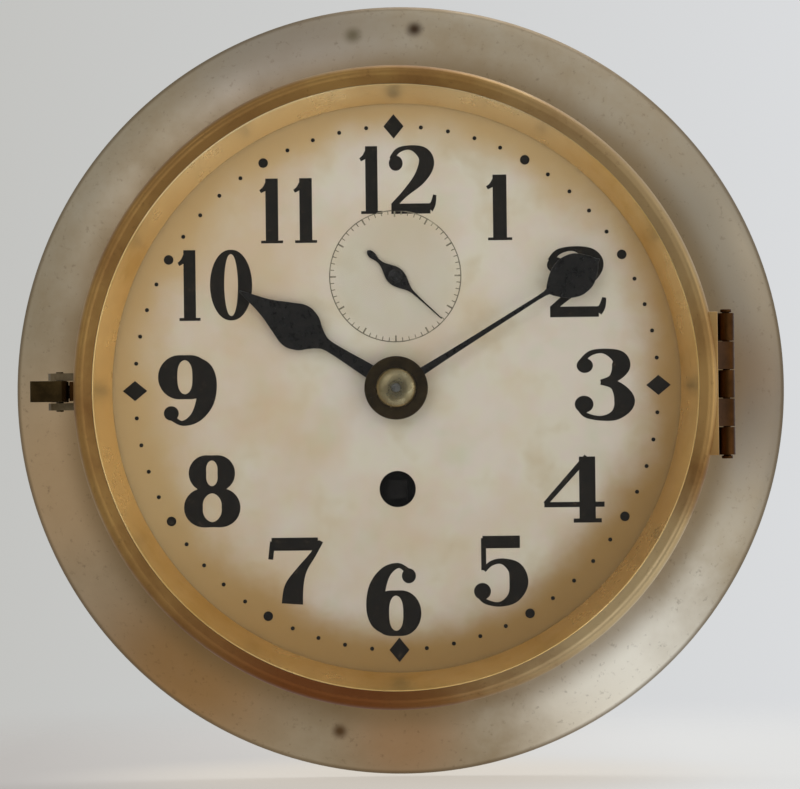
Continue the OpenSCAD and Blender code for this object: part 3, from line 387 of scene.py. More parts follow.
def ranged(tree, value, low, high, to_low=0.0, to_high=1.0):
    """Moves a number from one range to another, held at both ends."""
    return node(tree, "ShaderNodeMapRange", Value=value, From_Min=low, From_Max=high,
                To_Min=to_low, To_Max=to_high).outputs["Result"]


def eased_in(tree, value, low, high, to_low=0.0, to_high=1.0):
    """The same as ranged, with a soft start and end."""
    return node(tree, "ShaderNodeMapRange", {"interpolation_type": "SMOOTHSTEP"}, Value=value,
                From_Min=low, From_Max=high, To_Min=to_low, To_Max=to_high).outputs["Result"]


def mixed(tree, factor, first, second):
    """The first colour at factor 0, the second at 1; either may be a code."""
    first, second = [linear(c) if isinstance(c, str) else c for c in (first, second)]
    return node(tree, "ShaderNodeMix", {"data_type": "RGBA"}, in_0=factor, in_6=first,
                in_7=second).outputs[2]


def mixed_shaders(tree, factor, first, second):
    return node(tree, "ShaderNodeMixShader", in_0=factor, in_1=first.outputs[0],
                in_2=second.outputs[0])


def tone(tree, factor, *stops):
    """A colour band: (place, colour) stops along a factor."""
    ramp = node(tree, "ShaderNodeValToRGB", Fac=factor)
    band = ramp.color_ramp
    while len(band.elements) < len(stops):
        band.elements.new(0.5)
    for element, (where, code) in zip(band.elements, stops):
        element.position = where
        element.color = linear(code)
    return ramp.outputs["Color"]


def bumped(tree, height, strength, depth):
    """A relief of this depth in mm."""
    return node(tree, "ShaderNodeBump", Height=height, Strength=strength,
                Distance=depth * MM).outputs["Normal"]


def from_axis(tree, parts):
    """How far a point lies from the axis of the clock."""
    flat = node(tree, "ShaderNodeCombineXYZ", X=parts.outputs["X"], Y=parts.outputs["Z"])
    return measure(tree, "LENGTH", flat.outputs[0])


def any_ray(tree, path, first, *others):
    """1 for a ray of any of these kinds, 0 for any other."""
    found = path.outputs["Is %s Ray" % first]
    for kind in others:
        found = calc(tree, "MAXIMUM", found, path.outputs["Is %s Ray" % kind])
    return found


def stained_metal(name, clean, worn, dark, roughness, patch_mm, grain_mm=0.5,
                  grain_depth=0.02, fleck=0.25, metallic=1.0, turned_lines=False,
                  patches=(), rings=()):
    """A metal with broad tarnish, small flecks of corrosion, fine marks of working, and patches
    and rings of colour, some of them stains and some painted light and shade.

    patches are (centre, reach, colour, strength); rings are (radius where the colour
    starts, radius where it is full, colour, strength).
    """
    material, tree, coords = new_material(name)
    radius = from_axis(tree, node(tree, "ShaderNodeSeparateXYZ", Vector=coords))
    broad = noise(tree, coords, patch_mm, 5.0, 0.62)
    colour = mixed(tree, ranged(tree, broad, 0.36, 0.66), clean, worn)
    for centre, reach, code, strength in patches:
        # full near its centre, gone before twice its reach, its edge frayed by the tarnish
        away = measure(tree, "DISTANCE", coords, place(*centre))
        ragged = calc(tree, "MULTIPLY_ADD", broad, reach * MM * 0.7, away)
        near = eased_in(tree, ragged, reach * MM * 1.35, reach * MM * 0.45, 0.0, strength)
        colour = mixed(tree, near, colour, code)
    for bare, full, code, strength in rings:
        # round the axis, coming in between two radii
        band = eased_in(tree, radius, bare * MM, full * MM, 0.0, strength)
        colour = mixed(tree, band, colour, code)
    # only the peaks of a fine noise are flecks, and they are sunk a little
    pits = ranged(tree, noise(tree, coords, 1.8, 3.0, 0.7), 0.60, 0.74, 0.0, fleck)
    colour = mixed(tree, pits, colour, dark)
    rough = ranged(tree, broad, 0.3, 0.7, roughness - 0.07, roughness + 0.10)
    if turned_lines:
        # lines left by the lathe, drawn about three times as coarse as real so that they show
        marks_of_work = node(tree, "ShaderNodeTexNoise", {"noise_dimensions": "1D"}, W=radius,
                             Scale=1000 / grain_mm, Detail=2.0).outputs["Fac"]
    else:
        marks_of_work = noise(tree, coords, grain_mm)
    relief = calc(tree, "MULTIPLY_ADD", pits, -0.8, marks_of_work)
    painted(tree, colour, Metallic=metallic, Roughness=rough,
            Normal=bumped(tree, relief, 0.35, grain_depth))
    return material


# ---------------------------------------------------------------- finishes

# Old nickel plate over brass, polished once and left: dull grey, brown where the brass shows;
# two of its patches are painted light and shade
nickel_plate = stained_metal(
    "worn_nickel_plate", "B6AB97", "A8977C", "5E4A34", 0.42, patch_mm=34, grain_mm=1.1,
    grain_depth=0.03, fleck=0.35,
    # at five a near white painted reflection of the window low on the right; at seven, six,
    # half past eight and half past eleven; darker at two and three; beside the hinge a painted
    # shade where the hinge's shadow falls
    patches=[((56, -78, 9), 46, "FAF6EA", 1.0),
             ((-60, -76, 9), 42, "AA7F46", 0.8),
             ((0, -97, 9), 24, "B08A62", 0.7),
             ((-92, -24, 9), 52, "C4A47C", 0.8),
             ((-30, 92, 9), 46, "A2978A", 0.7),
             ((88, 34, 9), 56, "968B78", 0.85),
             ((97, -2, 9), 42, "7E7365", 0.9),
             ((92, 4, 9), 20, "846A4C", 0.55),
             # three small dark stains
             ((5.2, 99.9, 7), 3.4, "3E2C1E", 0.95),
             ((-11.9, 98.3, 7), 3.6, "6A6048", 0.8),
             ((-17.6, -94.1, 8.6), 3.2, "543A20", 0.9)],
    # painted shade, brown, in the corner against the drum where the door overhangs it, full
    # inside 88 mm so that it covers the drum and back too; and darker at the very edge
    rings=((97, 88, "8C7450", 0.7), (105.0, 106.2, "6E5C40", 0.75)))
# The same plate on the latch's small castings, duller and greyer
nickel_fitting = stained_metal("dull_nickel_fittings", "7D6F57", "61523B", "3A3024", 0.5,
                               patch_mm=6)
# Door: brass gone brown under old lacquer
door_brass = stained_metal(
    "browned_door_brass", "9C7A44", "805C30", "4A2F16", 0.46, patch_mm=26, grain_mm=0.7,
    grain_depth=0.015, fleck=0.3, metallic=0.8, turned_lines=True,
    # the patches are painted light and shade over the brown: paler on the right, painted
    # reflections of the lamp and the window low on the right; darker at the bottom and the
    # upper left, painted shade
    patches=[((-20, -84, 66), 62, "6E3A14", 0.9),
             ((66, 54, 66), 56, "B29C74", 0.7),
             ((58, -62, 66), 54, "C8B48C", 0.8),
             ((84, -2, 66), 30, "B8945C", 0.8),
             ((-50, 68, 66), 40, "7E5C30", 0.6)])
# Reflector cone: brass kept bright behind the glass
reflector_brass = stained_metal(
    "gilt_reflector_brass", "F2D190", "E2BA6E", "8A6430", 0.30, patch_mm=24, grain_mm=0.6,
    grain_depth=0.01, fleck=0.2, metallic=0.78, turned_lines=True,
    # the patches are painted light and shade: paler at nine, eleven and half past twelve, a
    # painted highlight where light from the right falls on the cone; darker at four, a painted
    # shadow of the rim
    patches=[((-74, -6, 58), 62, "FFDC9A", 0.8),
             ((-42, 70, 58), 60, "FFE8B8", 0.9),
             ((24, 73, 58), 50, "F0DCB4", 0.8),
             ((70, -40, 58), 60, "E0BE82", 0.6)])
# Hinge and strike: brass painted nearly black brown; on the hinge this is painted shade, the
# shadow in the gaps of its knuckles
dark_brass = stained_metal("hinge_and_strike_brass_dark_as_painted_shade", "4C3016", "3A240F", "1A1008", 0.42,
                           patch_mm=7)
# Latch lever: blackened steel worn back to olive grey on the edges
latch_dark = stained_metal("blackened_latch_steel", "43351E", "2E2414", "18130C", 0.5,
                           patch_mm=5)
# Movement: lacquered sheet brass with a fine grain
movement_brass = stained_metal("lacquered_movement_brass", "C9A45A", "B98F45", "6A4C20", 0.28,
                               patch_mm=14, grain_mm=0.35, grain_depth=0.008, fleck=0.15)
# Arbors, pinions and flat springs: ground steel
ground_steel = stained_metal("ground_steel", "A5A49E", "8C8A84", "4C4A46", 0.28, patch_mm=6,
                             grain_mm=0.3, grain_depth=0.006, fleck=0.2)
# Screws and balance spring: steel blued by heat
blued_steel = stained_metal("heat_blued_steel", "35476E", "2A3558", "1A1E2C", 0.24, patch_mm=4,
                            grain_mm=0.3, grain_depth=0.004, fleck=0.15)
# Nut of the minute hand: brass rubbed bright
nut_brass = stained_metal("rubbed_nut_brass", "A69A7A", "857858", "453A24", 0.28, patch_mm=4,
                          grain_mm=0.5, grain_depth=0.006, fleck=0.2)
# Winding square and ratchet: steel painted black, a painted shade for the depth of the winding
# hole
black_steel = stained_metal("winding_steel_black_as_painted_shade", "2B2927", "211F1D", "141210", 0.5,
                            patch_mm=4)
# The collar under the nut: brass stained olive black
collar_brass = stained_metal("olive_black_collar", "463A26", "30271A", "1A140C", 0.40,
                             patch_mm=4, grain_mm=0.4, grain_depth=0.006, fleck=0.2)


def silvered_dial():
    """Silvered brass: matt, warm white, mottled, with a wide brown stain round the rim."""
    material, tree, coords = new_material("silvered_dial")
    parts = node(tree, "ShaderNodeSeparateXYZ", Vector=coords)
    cloud = noise(tree, coords, 26, 5.0, 0.55)
    mottle = noise(tree, coords, 15, 3.0, 0.6)
    # the stain creeps in further towards six
    low = ranged(tree, parts.outputs["Z"], 0.07, -0.07, -1.5 * MM, 3.0 * MM)
    edge = calc(tree, "ADD", from_axis(tree, parts), low)
    # and stays narrow towards two and three
    towards = measure(tree, "DOT_PRODUCT", coords, (0.94, 0, 0.34))
    edge = calc(tree, "ADD", edge, eased_in(tree, towards, 0.035, 0.075, 0.0, -3.6 * MM))
    ragged = calc(tree, "MULTIPLY_ADD", cloud, 14 * MM, edge)
    stain = eased_in(tree, ragged, 66 * MM, 80 * MM)
    base = tone(tree, mottle, (0.28, "CFC2AA"), (0.44, "DAD2C1"), (0.54, "DBCFC4"),
                (0.72, "D2CFBC"))
    # warmer towards the latch side, cooler towards the hinge
    across = calc(tree, "MULTIPLY_ADD", parts.outputs["X"], -2.2, cloud)
    base = mixed(tree, ranged(tree, across, 0.40, 0.72, 0.0, 0.7), base, "CEB18A")
    # the stain is real; its being golden up on the latch side and brown down by the hinge is
    # painted light and shade, the rim lit on the latch side and in the painted shadow of the
    # door's rim by the hinge
    slant = measure(tree, "DOT_PRODUCT", coords, (-4.4, 0, 5.6))
    rim = tone(tree, calc(tree, "ADD", slant, 0.5), (0.0, "A2804A"), (0.3, "B08C54"),
               (0.6, "C2A472"), (0.9, "C8A876"))
    # the seconds circle is a little greyer than the rest
    off = measure(tree, "DISTANCE", coords, place(0, SECONDS_Y, DIAL_FACE))
    base = mixed(tree, eased_in(tree, off, 19.5 * MM, 13.5 * MM, 0.0, 0.5), base, "C3BCAA")
    painted(tree, mixed(tree, stain, base, rim), Metallic=0.15,
            Roughness=ranged(tree, mottle, 0.3, 0.7, 0.46, 0.62),
            Normal=bumped(tree, noise(tree, coords, 0.6), 0.25, 0.01))
    return material


def dial_ink():
    """Printer's black, dead matt, thin at the edges of the strokes."""
    material, tree, coords = new_material("dial_printing_ink")
    thin = noise(tree, coords, 2.2, 3.0, 0.7)
    painted(tree, tone(tree, thin, (0.35, "16120E"), (0.62, "1E1913"), (0.78, "40372A")),
            Roughness=ranged(tree, thin, 0.0, 1.0, 0.55, 0.8), Specular_IOR_Level=0.2)
    return material


def faint_ink():
    """The small seconds scale, printed finer and worn grey."""
    material, tree, coords = new_material("worn_seconds_printing")
    thin = noise(tree, coords, 3, 3.0, 0.7)
    painted(tree, tone(tree, thin, (0.35, "6B6353"), (0.60, "8A816E"), (0.75, "A79E89")),
            Roughness=0.7)
    return material


def hand_black():
    """Black stoved enamel on the hands, slightly glossy, with dust."""
    material, tree, coords = new_material("black_hand_enamel")
    dust = noise(tree, coords, 1.4, 4.0, 0.7)
    painted(tree, tone(tree, dust, (0.45, "0E0C0B"), (0.70, "1C1915"), (0.85, "3A352C")),
            Roughness=ranged(tree, dust, 0.3, 0.7, 0.22, 0.42), Specular_IOR_Level=0.35,
            Normal=bumped(tree, dust, 0.2, 0.01))
    return material


def clear_glass():
    """Flat crown glass, faintly green, with a breath of dust. Lamps shine through it."""
    material, tree, coords = new_material("clear_crown_glass")
    rough = ranged(tree, noise(tree, coords, 12, 5.0, 0.65), 0.45, 0.75, 0.0, 0.03)
    crown = node(tree, "ShaderNodeBsdfPrincipled", Base_Color=linear("FCFDFC"), IOR=1.5,
                 Roughness=rough, Transmission_Weight=1.0)
    open_way = node(tree, "ShaderNodeBsdfTransparent", Color=linear("FCFDFC"))
    lamp_light = any_ray(tree, node(tree, "ShaderNodeLightPath"), "Shadow", "Diffuse")
    surface(tree, mixed_shaders(tree, lamp_light, crown, open_way))
    return material


def pallet_ruby():
    """Made ruby of the pallet stones: deep red, polished."""
    material, tree, coords = new_material("pallet_ruby")
    cloud = noise(tree, coords, 0.8)
    painted(tree, tone(tree, cloud, (0.3, "7A0F22"), (0.7, "A51C34")), Roughness=0.06,
            IOR=1.76)
    return material


dial_silver = silvered_dial()
printing = dial_ink()
seconds_printing = faint_ink()
enamel = hand_black()
glass = clear_glass()
ruby = pallet_ruby()


def dress(piece, material, body, slot, *nodes):
    """Keeps broad faces flat beside rounded edges, gives the material and body, and hides the
    nodes. The slot is not used.
    """
    pick(piece)
    m = piece.modifiers.new("flat_faces", "WEIGHTED_NORMAL")
    m.weight = 100
    m.keep_sharp = True
    bpy.ops.object.modifier_apply(modifier=m.name)
    piece.data.materials.clear()
    piece.data.materials.append(material)
    if body:
        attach(piece, body)
    if nodes:
        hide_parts(*nodes)


# ---------------------------------------------------------------- case

rise = flowing([(105.78, 3.63), (103.14, 5.5), (98.82, 7.48), (93.3, 9.13), (87.3, 10.23),
                (84.18, 11.0), (82.98, 12.32), (DRUM_RADIUS, 14.3)], 5)
# the floor of the case closes to the axis on both sides
case_section = ([(EYE, 0)]
                + eased([(78, 0, 0), (FLANGE_RADIUS, 0, 0.5), (FLANGE_RADIUS, 2.09, 0.0)])
                + [(106.33, 2.9)] + rise
                + eased([(DRUM_RADIUS, 14.5, 0), (DRUM_RADIUS, DRUM_TOP, 0.3),
                         (DRUM_BORE, DRUM_TOP, 0.3), (DRUM_BORE, 5.5, 0)])
                + [(80.65, 4.2), (79.6, 3.1), (78, BACK_THICKNESS), (EYE, BACK_THICKNESS)])
case = turned("case_shell", case_section, closed=False)
# holes in the back for the wall screws and for the screws of the movement's posts
for hole_radius, at_radius, angles in ((2.5, 63, (60, 300, 180)), (1.5, 54, (0, 240, 120))):
    for angle in angles:
        x, y = polar(at_radius, angle)
        cut(case, spun_rod("drill", place(x, y, -3), place(x, y, 6), hole_radius))
dress(case, nickel_plate, "case", "nickel_plate", "case_body")

# ---------------------------------------------------------------- door


def along_hinge(name, low, high, radius, ease=0.0):
    """A rod on the axis of the hinge, from y = low to y = high."""
    return spun_rod(name, place(HINGE_X, low, HINGE_H), place(HINGE_X, high, HINGE_H), radius,
                    ease)


def bore_for_pin(piece):
    cut(piece, along_hinge("pin_bore", -21, 21, PIN_BORE))


door = turned("door_rim", eased([
    (82.9, 56.5, 0.15), (DOOR_RADIUS, 56.5, 0.3), (DOOR_RADIUS, 68.1, 1.5), (84.4, 70.0, 0.9),
    (82.9, 69.75, 0.5), (80.6, 67.0, 0.2), (80.6, PANE_FRONT, 0), (82, PANE_FRONT, 0),
    (82, CONE_SEAT, 0), (82.9, CONE_SEAT, 0)]))
# the hinge lug fills the space between the round rim, met on this radius, and a straight edge
LUG_ARC = 83.95
half_angle = math.asin(HINGE_HALF / LUG_ARC)
arc = [(LUG_ARC * math.cos(half_angle * k / 12), LUG_ARC * math.sin(half_angle * k / 12))
       for k in range(-12, 13)]
lug = sheet("lug", [[(DOOR_RADIUS, HINGE_HALF), (DOOR_RADIUS, -HINGE_HALF)] + arc], 57.7, 68.4,
            ease=0.25)
cut(door, lug, "UNION")
# the second and fourth of the five knuckles are the door's
knuckles = []
for i in (1, 3):
    low = -HINGE_HALF + i * KNUCKLE_PITCH + KNUCKLE_PLAY
    knuckle = along_hinge("knuckle", low, low + KNUCKLE_LENGTH, KNUCKLE_RADIUS, 0.12)
    arm = sheet("arm", [[(84.6, 56.7), (HINGE_X, HINGE_H), (89.08, 58.0), (87.6, 59.4),
                         (85.4, 62.4), (84.6, 62.4)]], 0, KNUCKLE_LENGTH, ease=0.1)
    stood_up(arm, low)
    cut(arm, knuckle, "UNION")
    bore_for_pin(arm)
    knuckles.append(arm)
bore_for_pin(door)
# the door's knuckles take the near black brass: painted shade for the gaps of the hinge
dress(joined("door_knuckles", knuckles), dark_brass, "door", "dark_brass")
dress(door, door_brass, "door", "door_brass", "door_ring")

reflector = turned("reflector_cone", eased([
    (76.2, 51, 0.15), (76.85, 51, 0.15), (80.85, CONE_SEAT, 0), (PANE_RADIUS, CONE_SEAT, 0.1),
    (PANE_RADIUS, PANE_BACK, 0.1), (80.4, PANE_BACK, 0.3)]))
dress(reflector, reflector_brass, "door", "reflector_brass", "reflector_ring")

pane = turned("door_pane", eased([
    (EYE, PANE_BACK, 0), (PANE_RADIUS, PANE_BACK, 0.25), (PANE_RADIUS, PANE_FRONT, 0.25),
    (EYE, PANE_FRONT, 0)]), closed=False)
dress(pane, glass, "door", "glass", "door_glass")

# ---------------------------------------------------------------- dial

dial = sheet("dial_plate", [circle(DIAL_RADIUS, steps=TURN_STEPS), circle(3.4),
                            circle(1.5, (0, SECONDS_Y)), circle(4.85, (0, WIND_Y))],
             DIAL_BACK, DIAL_FACE)
dress(dial, dial_silver, "case", "dial_silver", "dial")

# thickness of the print over the dial, and how far its marks reach into the dial
PRINT, SECONDS_PRINT, SUNK = 0.06, 0.03, 0.02
# how much bolder the strokes are than they are written, and the balls
WEIGHT, BALL_WEIGHT = 1.25, 1.12
# height of the box that the figures are written in
BOX = 70
HOUR_CIRCLE, TRACK_CIRCLE = 55.9, 70.2


def line_of(name, points, closed=False):
    """A soft round line through (x, y, width) points, its width flowing with it."""
    curve = bpy.data.curves.new(name, "CURVE")
    curve.dimensions = "3D"
    curve.fill_mode = "FULL"
    curve.bevel_depth = 0.5
    curve.bevel_resolution = 2
    curve.use_fill_caps = True
    spline = curve.splines.new("POLY")
    spline.points.add(len(points) - 1)
    for point, (x, y, width) in zip(spline.points, points):
        point.co = (x, y, 0, 1)
        point.radius = width
    spline.use_cyclic_u = closed
    return new_object(name, curve)


def stroke(*points):
    """One pen stroke of a figure, through (x, y, width) points."""
    bold = [(x, y, width * WEIGHT) for x, y, width in points]
    return line_of("stroke", flowing(bold, 6) if len(bold) > 2 else bold)


def bowl(x, y, rx, ry, side, top):
    """The space between a wide oval and a narrower one: thick at its sides, thin above."""
    side, top = side * WEIGHT, top * WEIGHT
    points = []
    for k in range(40):
        c, s = math.cos(math.pi * k / 20), math.sin(math.pi * k / 20)
        points.append((x + (rx - side / 2) * c, y + (ry - top / 2) * s,
                       math.hypot(side * c, top * s)))
    return line_of("bowl", points, closed=True)


def ball(x, y, r):
    """The round end of a stroke."""
    deselect()
    bpy.ops.mesh.primitive_uv_sphere_add(segments=24, ring_count=8, radius=r * BALL_WEIGHT,
                                         location=(x, y, 0))
    return bpy.context.object


DRAWN_BY = {"line": stroke, "bowl": bowl, "ball": ball}
SIX = [("bowl", 31, 22, 26, 22, 15, 4),
       ("line", (44, 62, 5), (34, 68, 4), (21, 62, 9), (12, 47, 14), (9.5, 28, 15),
        (12, 14, 12), (20, 5, 6)),
       ("ball", 44.5, 58, 6.5)]
# each figure: its width and its strokes
STROKES = {
    "0": (48, [("bowl", 24, 35, 24, 35, 13, 3.5)]),
    "1": (27, [("line", (1.5, 56, 3), (6, 59, 4), (10, 64, 5.5), (12, 68, 5)),
               ("line", (14, 70, 11), (14, 0, 11)),
               ("line", (2, 1.5, 2.4), (26, 1.5, 2.4)),
               ("line", (8, 2, 2), (20, 2, 2))]),
    "2": (57, [("ball", 11.5, 52, 7),
               ("line", (7, 56, 5), (14, 65, 4.5), (28, 68, 4), (42, 62, 11), (46, 51, 14),
                (38, 36, 11), (22, 21, 6), (8, 8, 5)),
               ("line", (6, 5, 8.5), (50, 5, 8.5)),
               ("line", (49, 4.5, 7), (53, 10, 5), (55, 19, 3))]),
    "3": (57, [("ball", 12, 54, 6.5),
               ("line", (9, 58, 4), (17, 66, 4), (29, 68, 4), (42, 62, 11), (44, 52, 13),
                (37, 41, 7), (26, 37.5, 4)),
               ("line", (26, 37.5, 4), (39, 34, 8), (47, 19, 15), (40, 6, 9), (27, 2, 4),
                (13, 5, 4), (7, 12, 4)),
               ("ball", 11, 16, 7.5)]),
    "4": (62, [("line", (44, 70, 5), (2, 20, 4)),
               ("line", (1, 19, 4.5), (61, 19, 4.5)),
               ("line", (44, 70, 13), (44, 0, 13)),
               ("line", (30, 1.8, 3.6), (58, 1.8, 3.6))]),
    "5": (55, [("line", (11, 64, 10), (48, 64, 10)),
               ("line", (12, 68, 4), (12, 36, 4)),
               ("line", (12, 36, 4), (20, 43, 4), (31, 44.5, 5), (43, 37, 12), (46.5, 23, 15),
                (41, 9, 10), (28, 2, 4), (14, 4.5, 4), (7, 11, 4)),
               ("ball", 10.5, 15, 7.5)]),
    "6": (57, SIX),
    "7": (54, [("line", (4, 63, 11), (50, 63, 11)),
               ("line", (5, 66, 4), (3, 47, 4)),
               ("line", (53, 66, 4), (45, 52, 5), (34, 36, 8), (26, 18, 15), (24, 0, 17))]),
    "8": (58, [("bowl", 29, 52.5, 23, 17.5, 14, 4), ("bowl", 29, 19, 28, 19, 15, 4)]),
    "9": (57, SIX),
}


def numeral(figures, x, y, width, height):
    """Draws one hour in place: its figures side by side, flattened to a printed film."""
    # the figures of twelve stand closer together
    gap = 3 if figures == "12" else 10
    parts, left = [], 0
    for figure in figures:
        wide, lines = STROKES[figure]
        for part in [DRAWN_BY[kind](*data) for kind, *data in lines]:
            pick(part)
            if part.type == "CURVE":
                bpy.ops.object.convert(target="MESH")
                part = bpy.context.object
            apply_transform()
            if figure == "9":
                # a six turned by half a turn
                part.data.transform(Matrix(((-1, 0, 0, wide), (0, -1, 0, BOX), (0, 0, 1, 0),
                                            (0, 0, 0, 1))))
            part.data.transform(Matrix.Translation((left, 0, 0)))
            parts.append(part)
        left += wide + gap
    piece = joined("hour_" + figures, parts)
    lows = [min(v.co[i] for v in piece.data.vertices) for i in range(3)]
    highs = [max(v.co[i] for v in piece.data.vertices) for i in range(3)]
    sx, sy = width / (highs[0] - lows[0]), height / (highs[1] - lows[1])
    # every stroke is a round line: flattening it to the film keeps its outline
    squeeze = Matrix(((sx * MM, 0, 0, (x - width / 2 - lows[0] * sx) * MM),
                      (0, 0, -PRINT / highs[2] * MM, -DIAL_FACE * MM),
                      (0, sy * MM, 0, (y - height / 2 - lows[1] * sy) * MM), (0, 0, 0, 1)))
    piece.data.transform(squeeze)
    return piece


# hour: width, height, and how far its figures stand off the true place
HOURS = {12: (20.6, 18.4, 1.0, 0.0), 1: (6.9, 17.6, 0.1, -0.3), 2: (15.8, 19.0, 0.2, 0.0),
         3: (16.2, 19.4, -0.1, 0.2), 4: (16.4, 18.2, -1.2, 0.4), 5: (14.6, 19.0, -0.5, -1.0),
         6: (14.8, 19.6, -1.4, -0.8), 7: (14.8, 18.0, 0.4, -0.4), 8: (15.2, 19.4, -1.4, 0.8),
         9: (15.8, 19.0, -0.2, 0.0), 10: (20.0, 19.0, 0.0, 0.2), 11: (15.4, 17.4, -0.6, -0.5)}
hours = []
for hour, (width, height, aside, up) in HOURS.items():
    x, y = polar(HOUR_CIRCLE, 30 * hour)
    hours.append(numeral(str(hour), x + aside, y + up, width, height))
numerals = finish_faces(joined("dial_numerals", hours), 60)
dress(numerals, printing, "case", "hand_black")


def printed(name, outlines, thickness=PRINT):
    """One mark of the print, let into the face of the dial."""
    return sheet(name, outlines, DIAL_FACE - SUNK, DIAL_FACE + thickness, ease=0.01)


def spoke_and_across(degrees):
    """The directions out from the middle and across, at a clock angle."""
    out = Vector(polar(1, degrees))
    return out, Vector((out.y, -out.x))


marks = []
for minute in range(60):
    x, y = polar(TRACK_CIRCLE, 6 * minute)
    if minute % 15 == 0:
        out, across = spoke_and_across(6 * minute)
        tips = [out * 3.3, across * 2.7, out * -3.3, across * -2.7]
        marks.append(printed("lozenge", [[(x + tip.x, y + tip.y) for tip in tips]]))
    else:
        marks.append(printed("dot", [circle(0.55 if minute % 5 else 1.3, (x, y), 20)]))
dress(joined("minute_track", marks), printing, "case", "hand_black")

ticks = [printed("ring", [circle(radius, (0, SECONDS_Y), 128) for radius in (17.75, 17.45)],
                 SECONDS_PRINT)]
for second in range(60):
    inner, half = (16.5, 0.13) if second % 5 else (15.9, 0.22)
    out, across = spoke_and_across(6 * second)
    corners = [out * inner + across * half, out * 17.6 + across * half,
               out * 17.6 - across * half, out * inner - across * half]
    ticks.append(printed("tick", [[(c.x, c.y + SECONDS_Y) for c in corners]], SECONDS_PRINT))
dress(joined("seconds_track", ticks), seconds_printing, "case", "hand_black")

# ---------------------------------------------------------------- hands

# clock angles: 10.162 hours, the hour hand 2.5 degrees behind its place as photographed
HOUR_AT = 30 * 10.162 - 2.5
MINUTE_AT = 360 * 0.162
SECOND_AT = 133.0
HOUR_LENGTH, MINUTE_LENGTH, SECONDS_LENGTH = 49.5, 64.4, 17.0


def hand_outline(length, half):
    """A hand from the right half of its outline, in shares of its length, and a blunt tip."""
    line = flowing([(x * length, y * length) for x, y in half], 3)
    line.append((0, half[-1][1] * length + 0.1))
    return line + [(-x, y) for x, y in reversed(line[:-1])]


hour_outline = hand_outline(HOUR_LENGTH, [
    (0.042, 0.10), (0.038, 0.20), (0.031, 0.34), (0.030, 0.43), (0.040, 0.47), (0.070, 0.515),
    (0.104, 0.555), (0.122, 0.60), (0.127, 0.63), (0.120, 0.67), (0.098, 0.72),
    (0.078, 0.765), (0.058, 0.81), (0.038, 0.87), (0.020, 0.94), (0.004, 0.998)])
hour_hand = sheet("hour_hand_blade", [hour_outline], 52.1, 52.8, 0.2, turn=HOUR_AT)
cut(hour_hand, turned("hour_boss", eased([
    (2.95, 51.7, 0), (4.2, 51.7, 0.15), (4.2, 52.1, 0), (7.6, 52.1, 0.2), (7.6, 52.8, 0.2),
    (4.2, 52.8, 0), (4.2, 53.3, 0.15), (2.95, 53.3, 0)]), steps=96), "UNION")
dress(hour_hand, enamel, "hour_train", "hand_black", "hour_hand")

minute_outline = hand_outline(MINUTE_LENGTH, [
    (0.018, 0.10), (0.0135, 0.25), (0.011, 0.40), (0.0095, 0.60), (0.010, 0.73),
    (0.026, 0.755), (0.050, 0.78), (0.072, 0.81), (0.087, 0.85), (0.088, 0.88),
    (0.080, 0.915), (0.060, 0.945), (0.034, 0.97), (0.014, 0.985), (0.003, 0.998)])
minute_hand = sheet("minute_hand_blade", [minute_outline], 54.5, 55.1, 0.18, turn=MINUTE_AT)
collar = turned("minute_boss", eased([
    (2.05, 54.4, 0), (8.5, 54.4, 0.2), (8.5, 55.4, 0.35), (6.2, 55.3, 0.2), (2.05, 55.3, 0)]),
    steps=128)
dress(collar, collar_brass, "centre_train", "hand_black")
dress(minute_hand, enamel, "centre_train", "hand_black", "minute_hand")

nut = turned("hand_nut_dome", eased([
    (1.25, 55.4, 0), (5.4, 55.4, 0.1), (5.4, 56.1, 0.35), (4.95, 56.85, 0.5), (3.9, 57.45, 0.9),
    (2.3, 57.7, 0.9), (1.25, 57.7, 0.15)]), steps=96)
dress(nut, nut_brass, "centre_train", "reflector_brass", "hand_nut")

second_line = flowing([(x, y * SECONDS_LENGTH) for x, y in (
    (0.15, 0.995), (0.30, 0.45), (0.75, 0.29), (1.70, 0.17), (2.40, 0.05), (2.30, -0.06),
    (1.50, -0.17), (0.70, -0.27), (0.50, -0.38), (0.92, -0.48), (0.75, -0.555),
    (0.12, -0.595))], 3)
second_outline = second_line + [(-x, y) for x, y in reversed(second_line)]
seconds_hand = sheet("seconds_hand_blade", [second_outline], 50.6, 50.95, 0.08,
                     centre=(0, SECONDS_Y), turn=SECOND_AT)
pipe_section = [(0.3, 51.32), (0.62, 51.32), (0.62, 49.4)] + eased([
    (1.1, 49.4, 0.1), (1.1, 50.5, 0), (1.9, 50.5, 0.1), (1.9, 51.3, 0.2),
    (1.2, 51.5, 0.2)]) + [(0.3, 51.56)]
cut(seconds_hand, turned("seconds_pipe", pipe_section, centre=(0, SECONDS_Y), closed=False,
                         steps=64), "UNION")
dress(seconds_hand, enamel, "seconds_train", "hand_black", "seconds_hand")

# ---------------------------------------------------------------- fittings

# the hinge's case leaf and pin take the near black brass, painted shade for the gaps of the
# hinge
for name, body, material, slot, width in (
        ("hinge_leaf_case", "case", dark_brass, "dark_brass", 0.25),
        ("hinge_pin", "case", dark_brass, "dark_brass", 0.15),
        ("latch_bracket", "case", nickel_fitting, "nickel_fitting", 0.25),
        ("latch_lever", "latch", latch_dark, "latch_dark", 0.25),
        ("latch_pin", "case", nickel_fitting, "nickel_fitting", 0.1),
        ("door_strike", "door", dark_brass, "dark_brass", 0.2)):
    dress(dressed(name, width), material, body, slot, name)

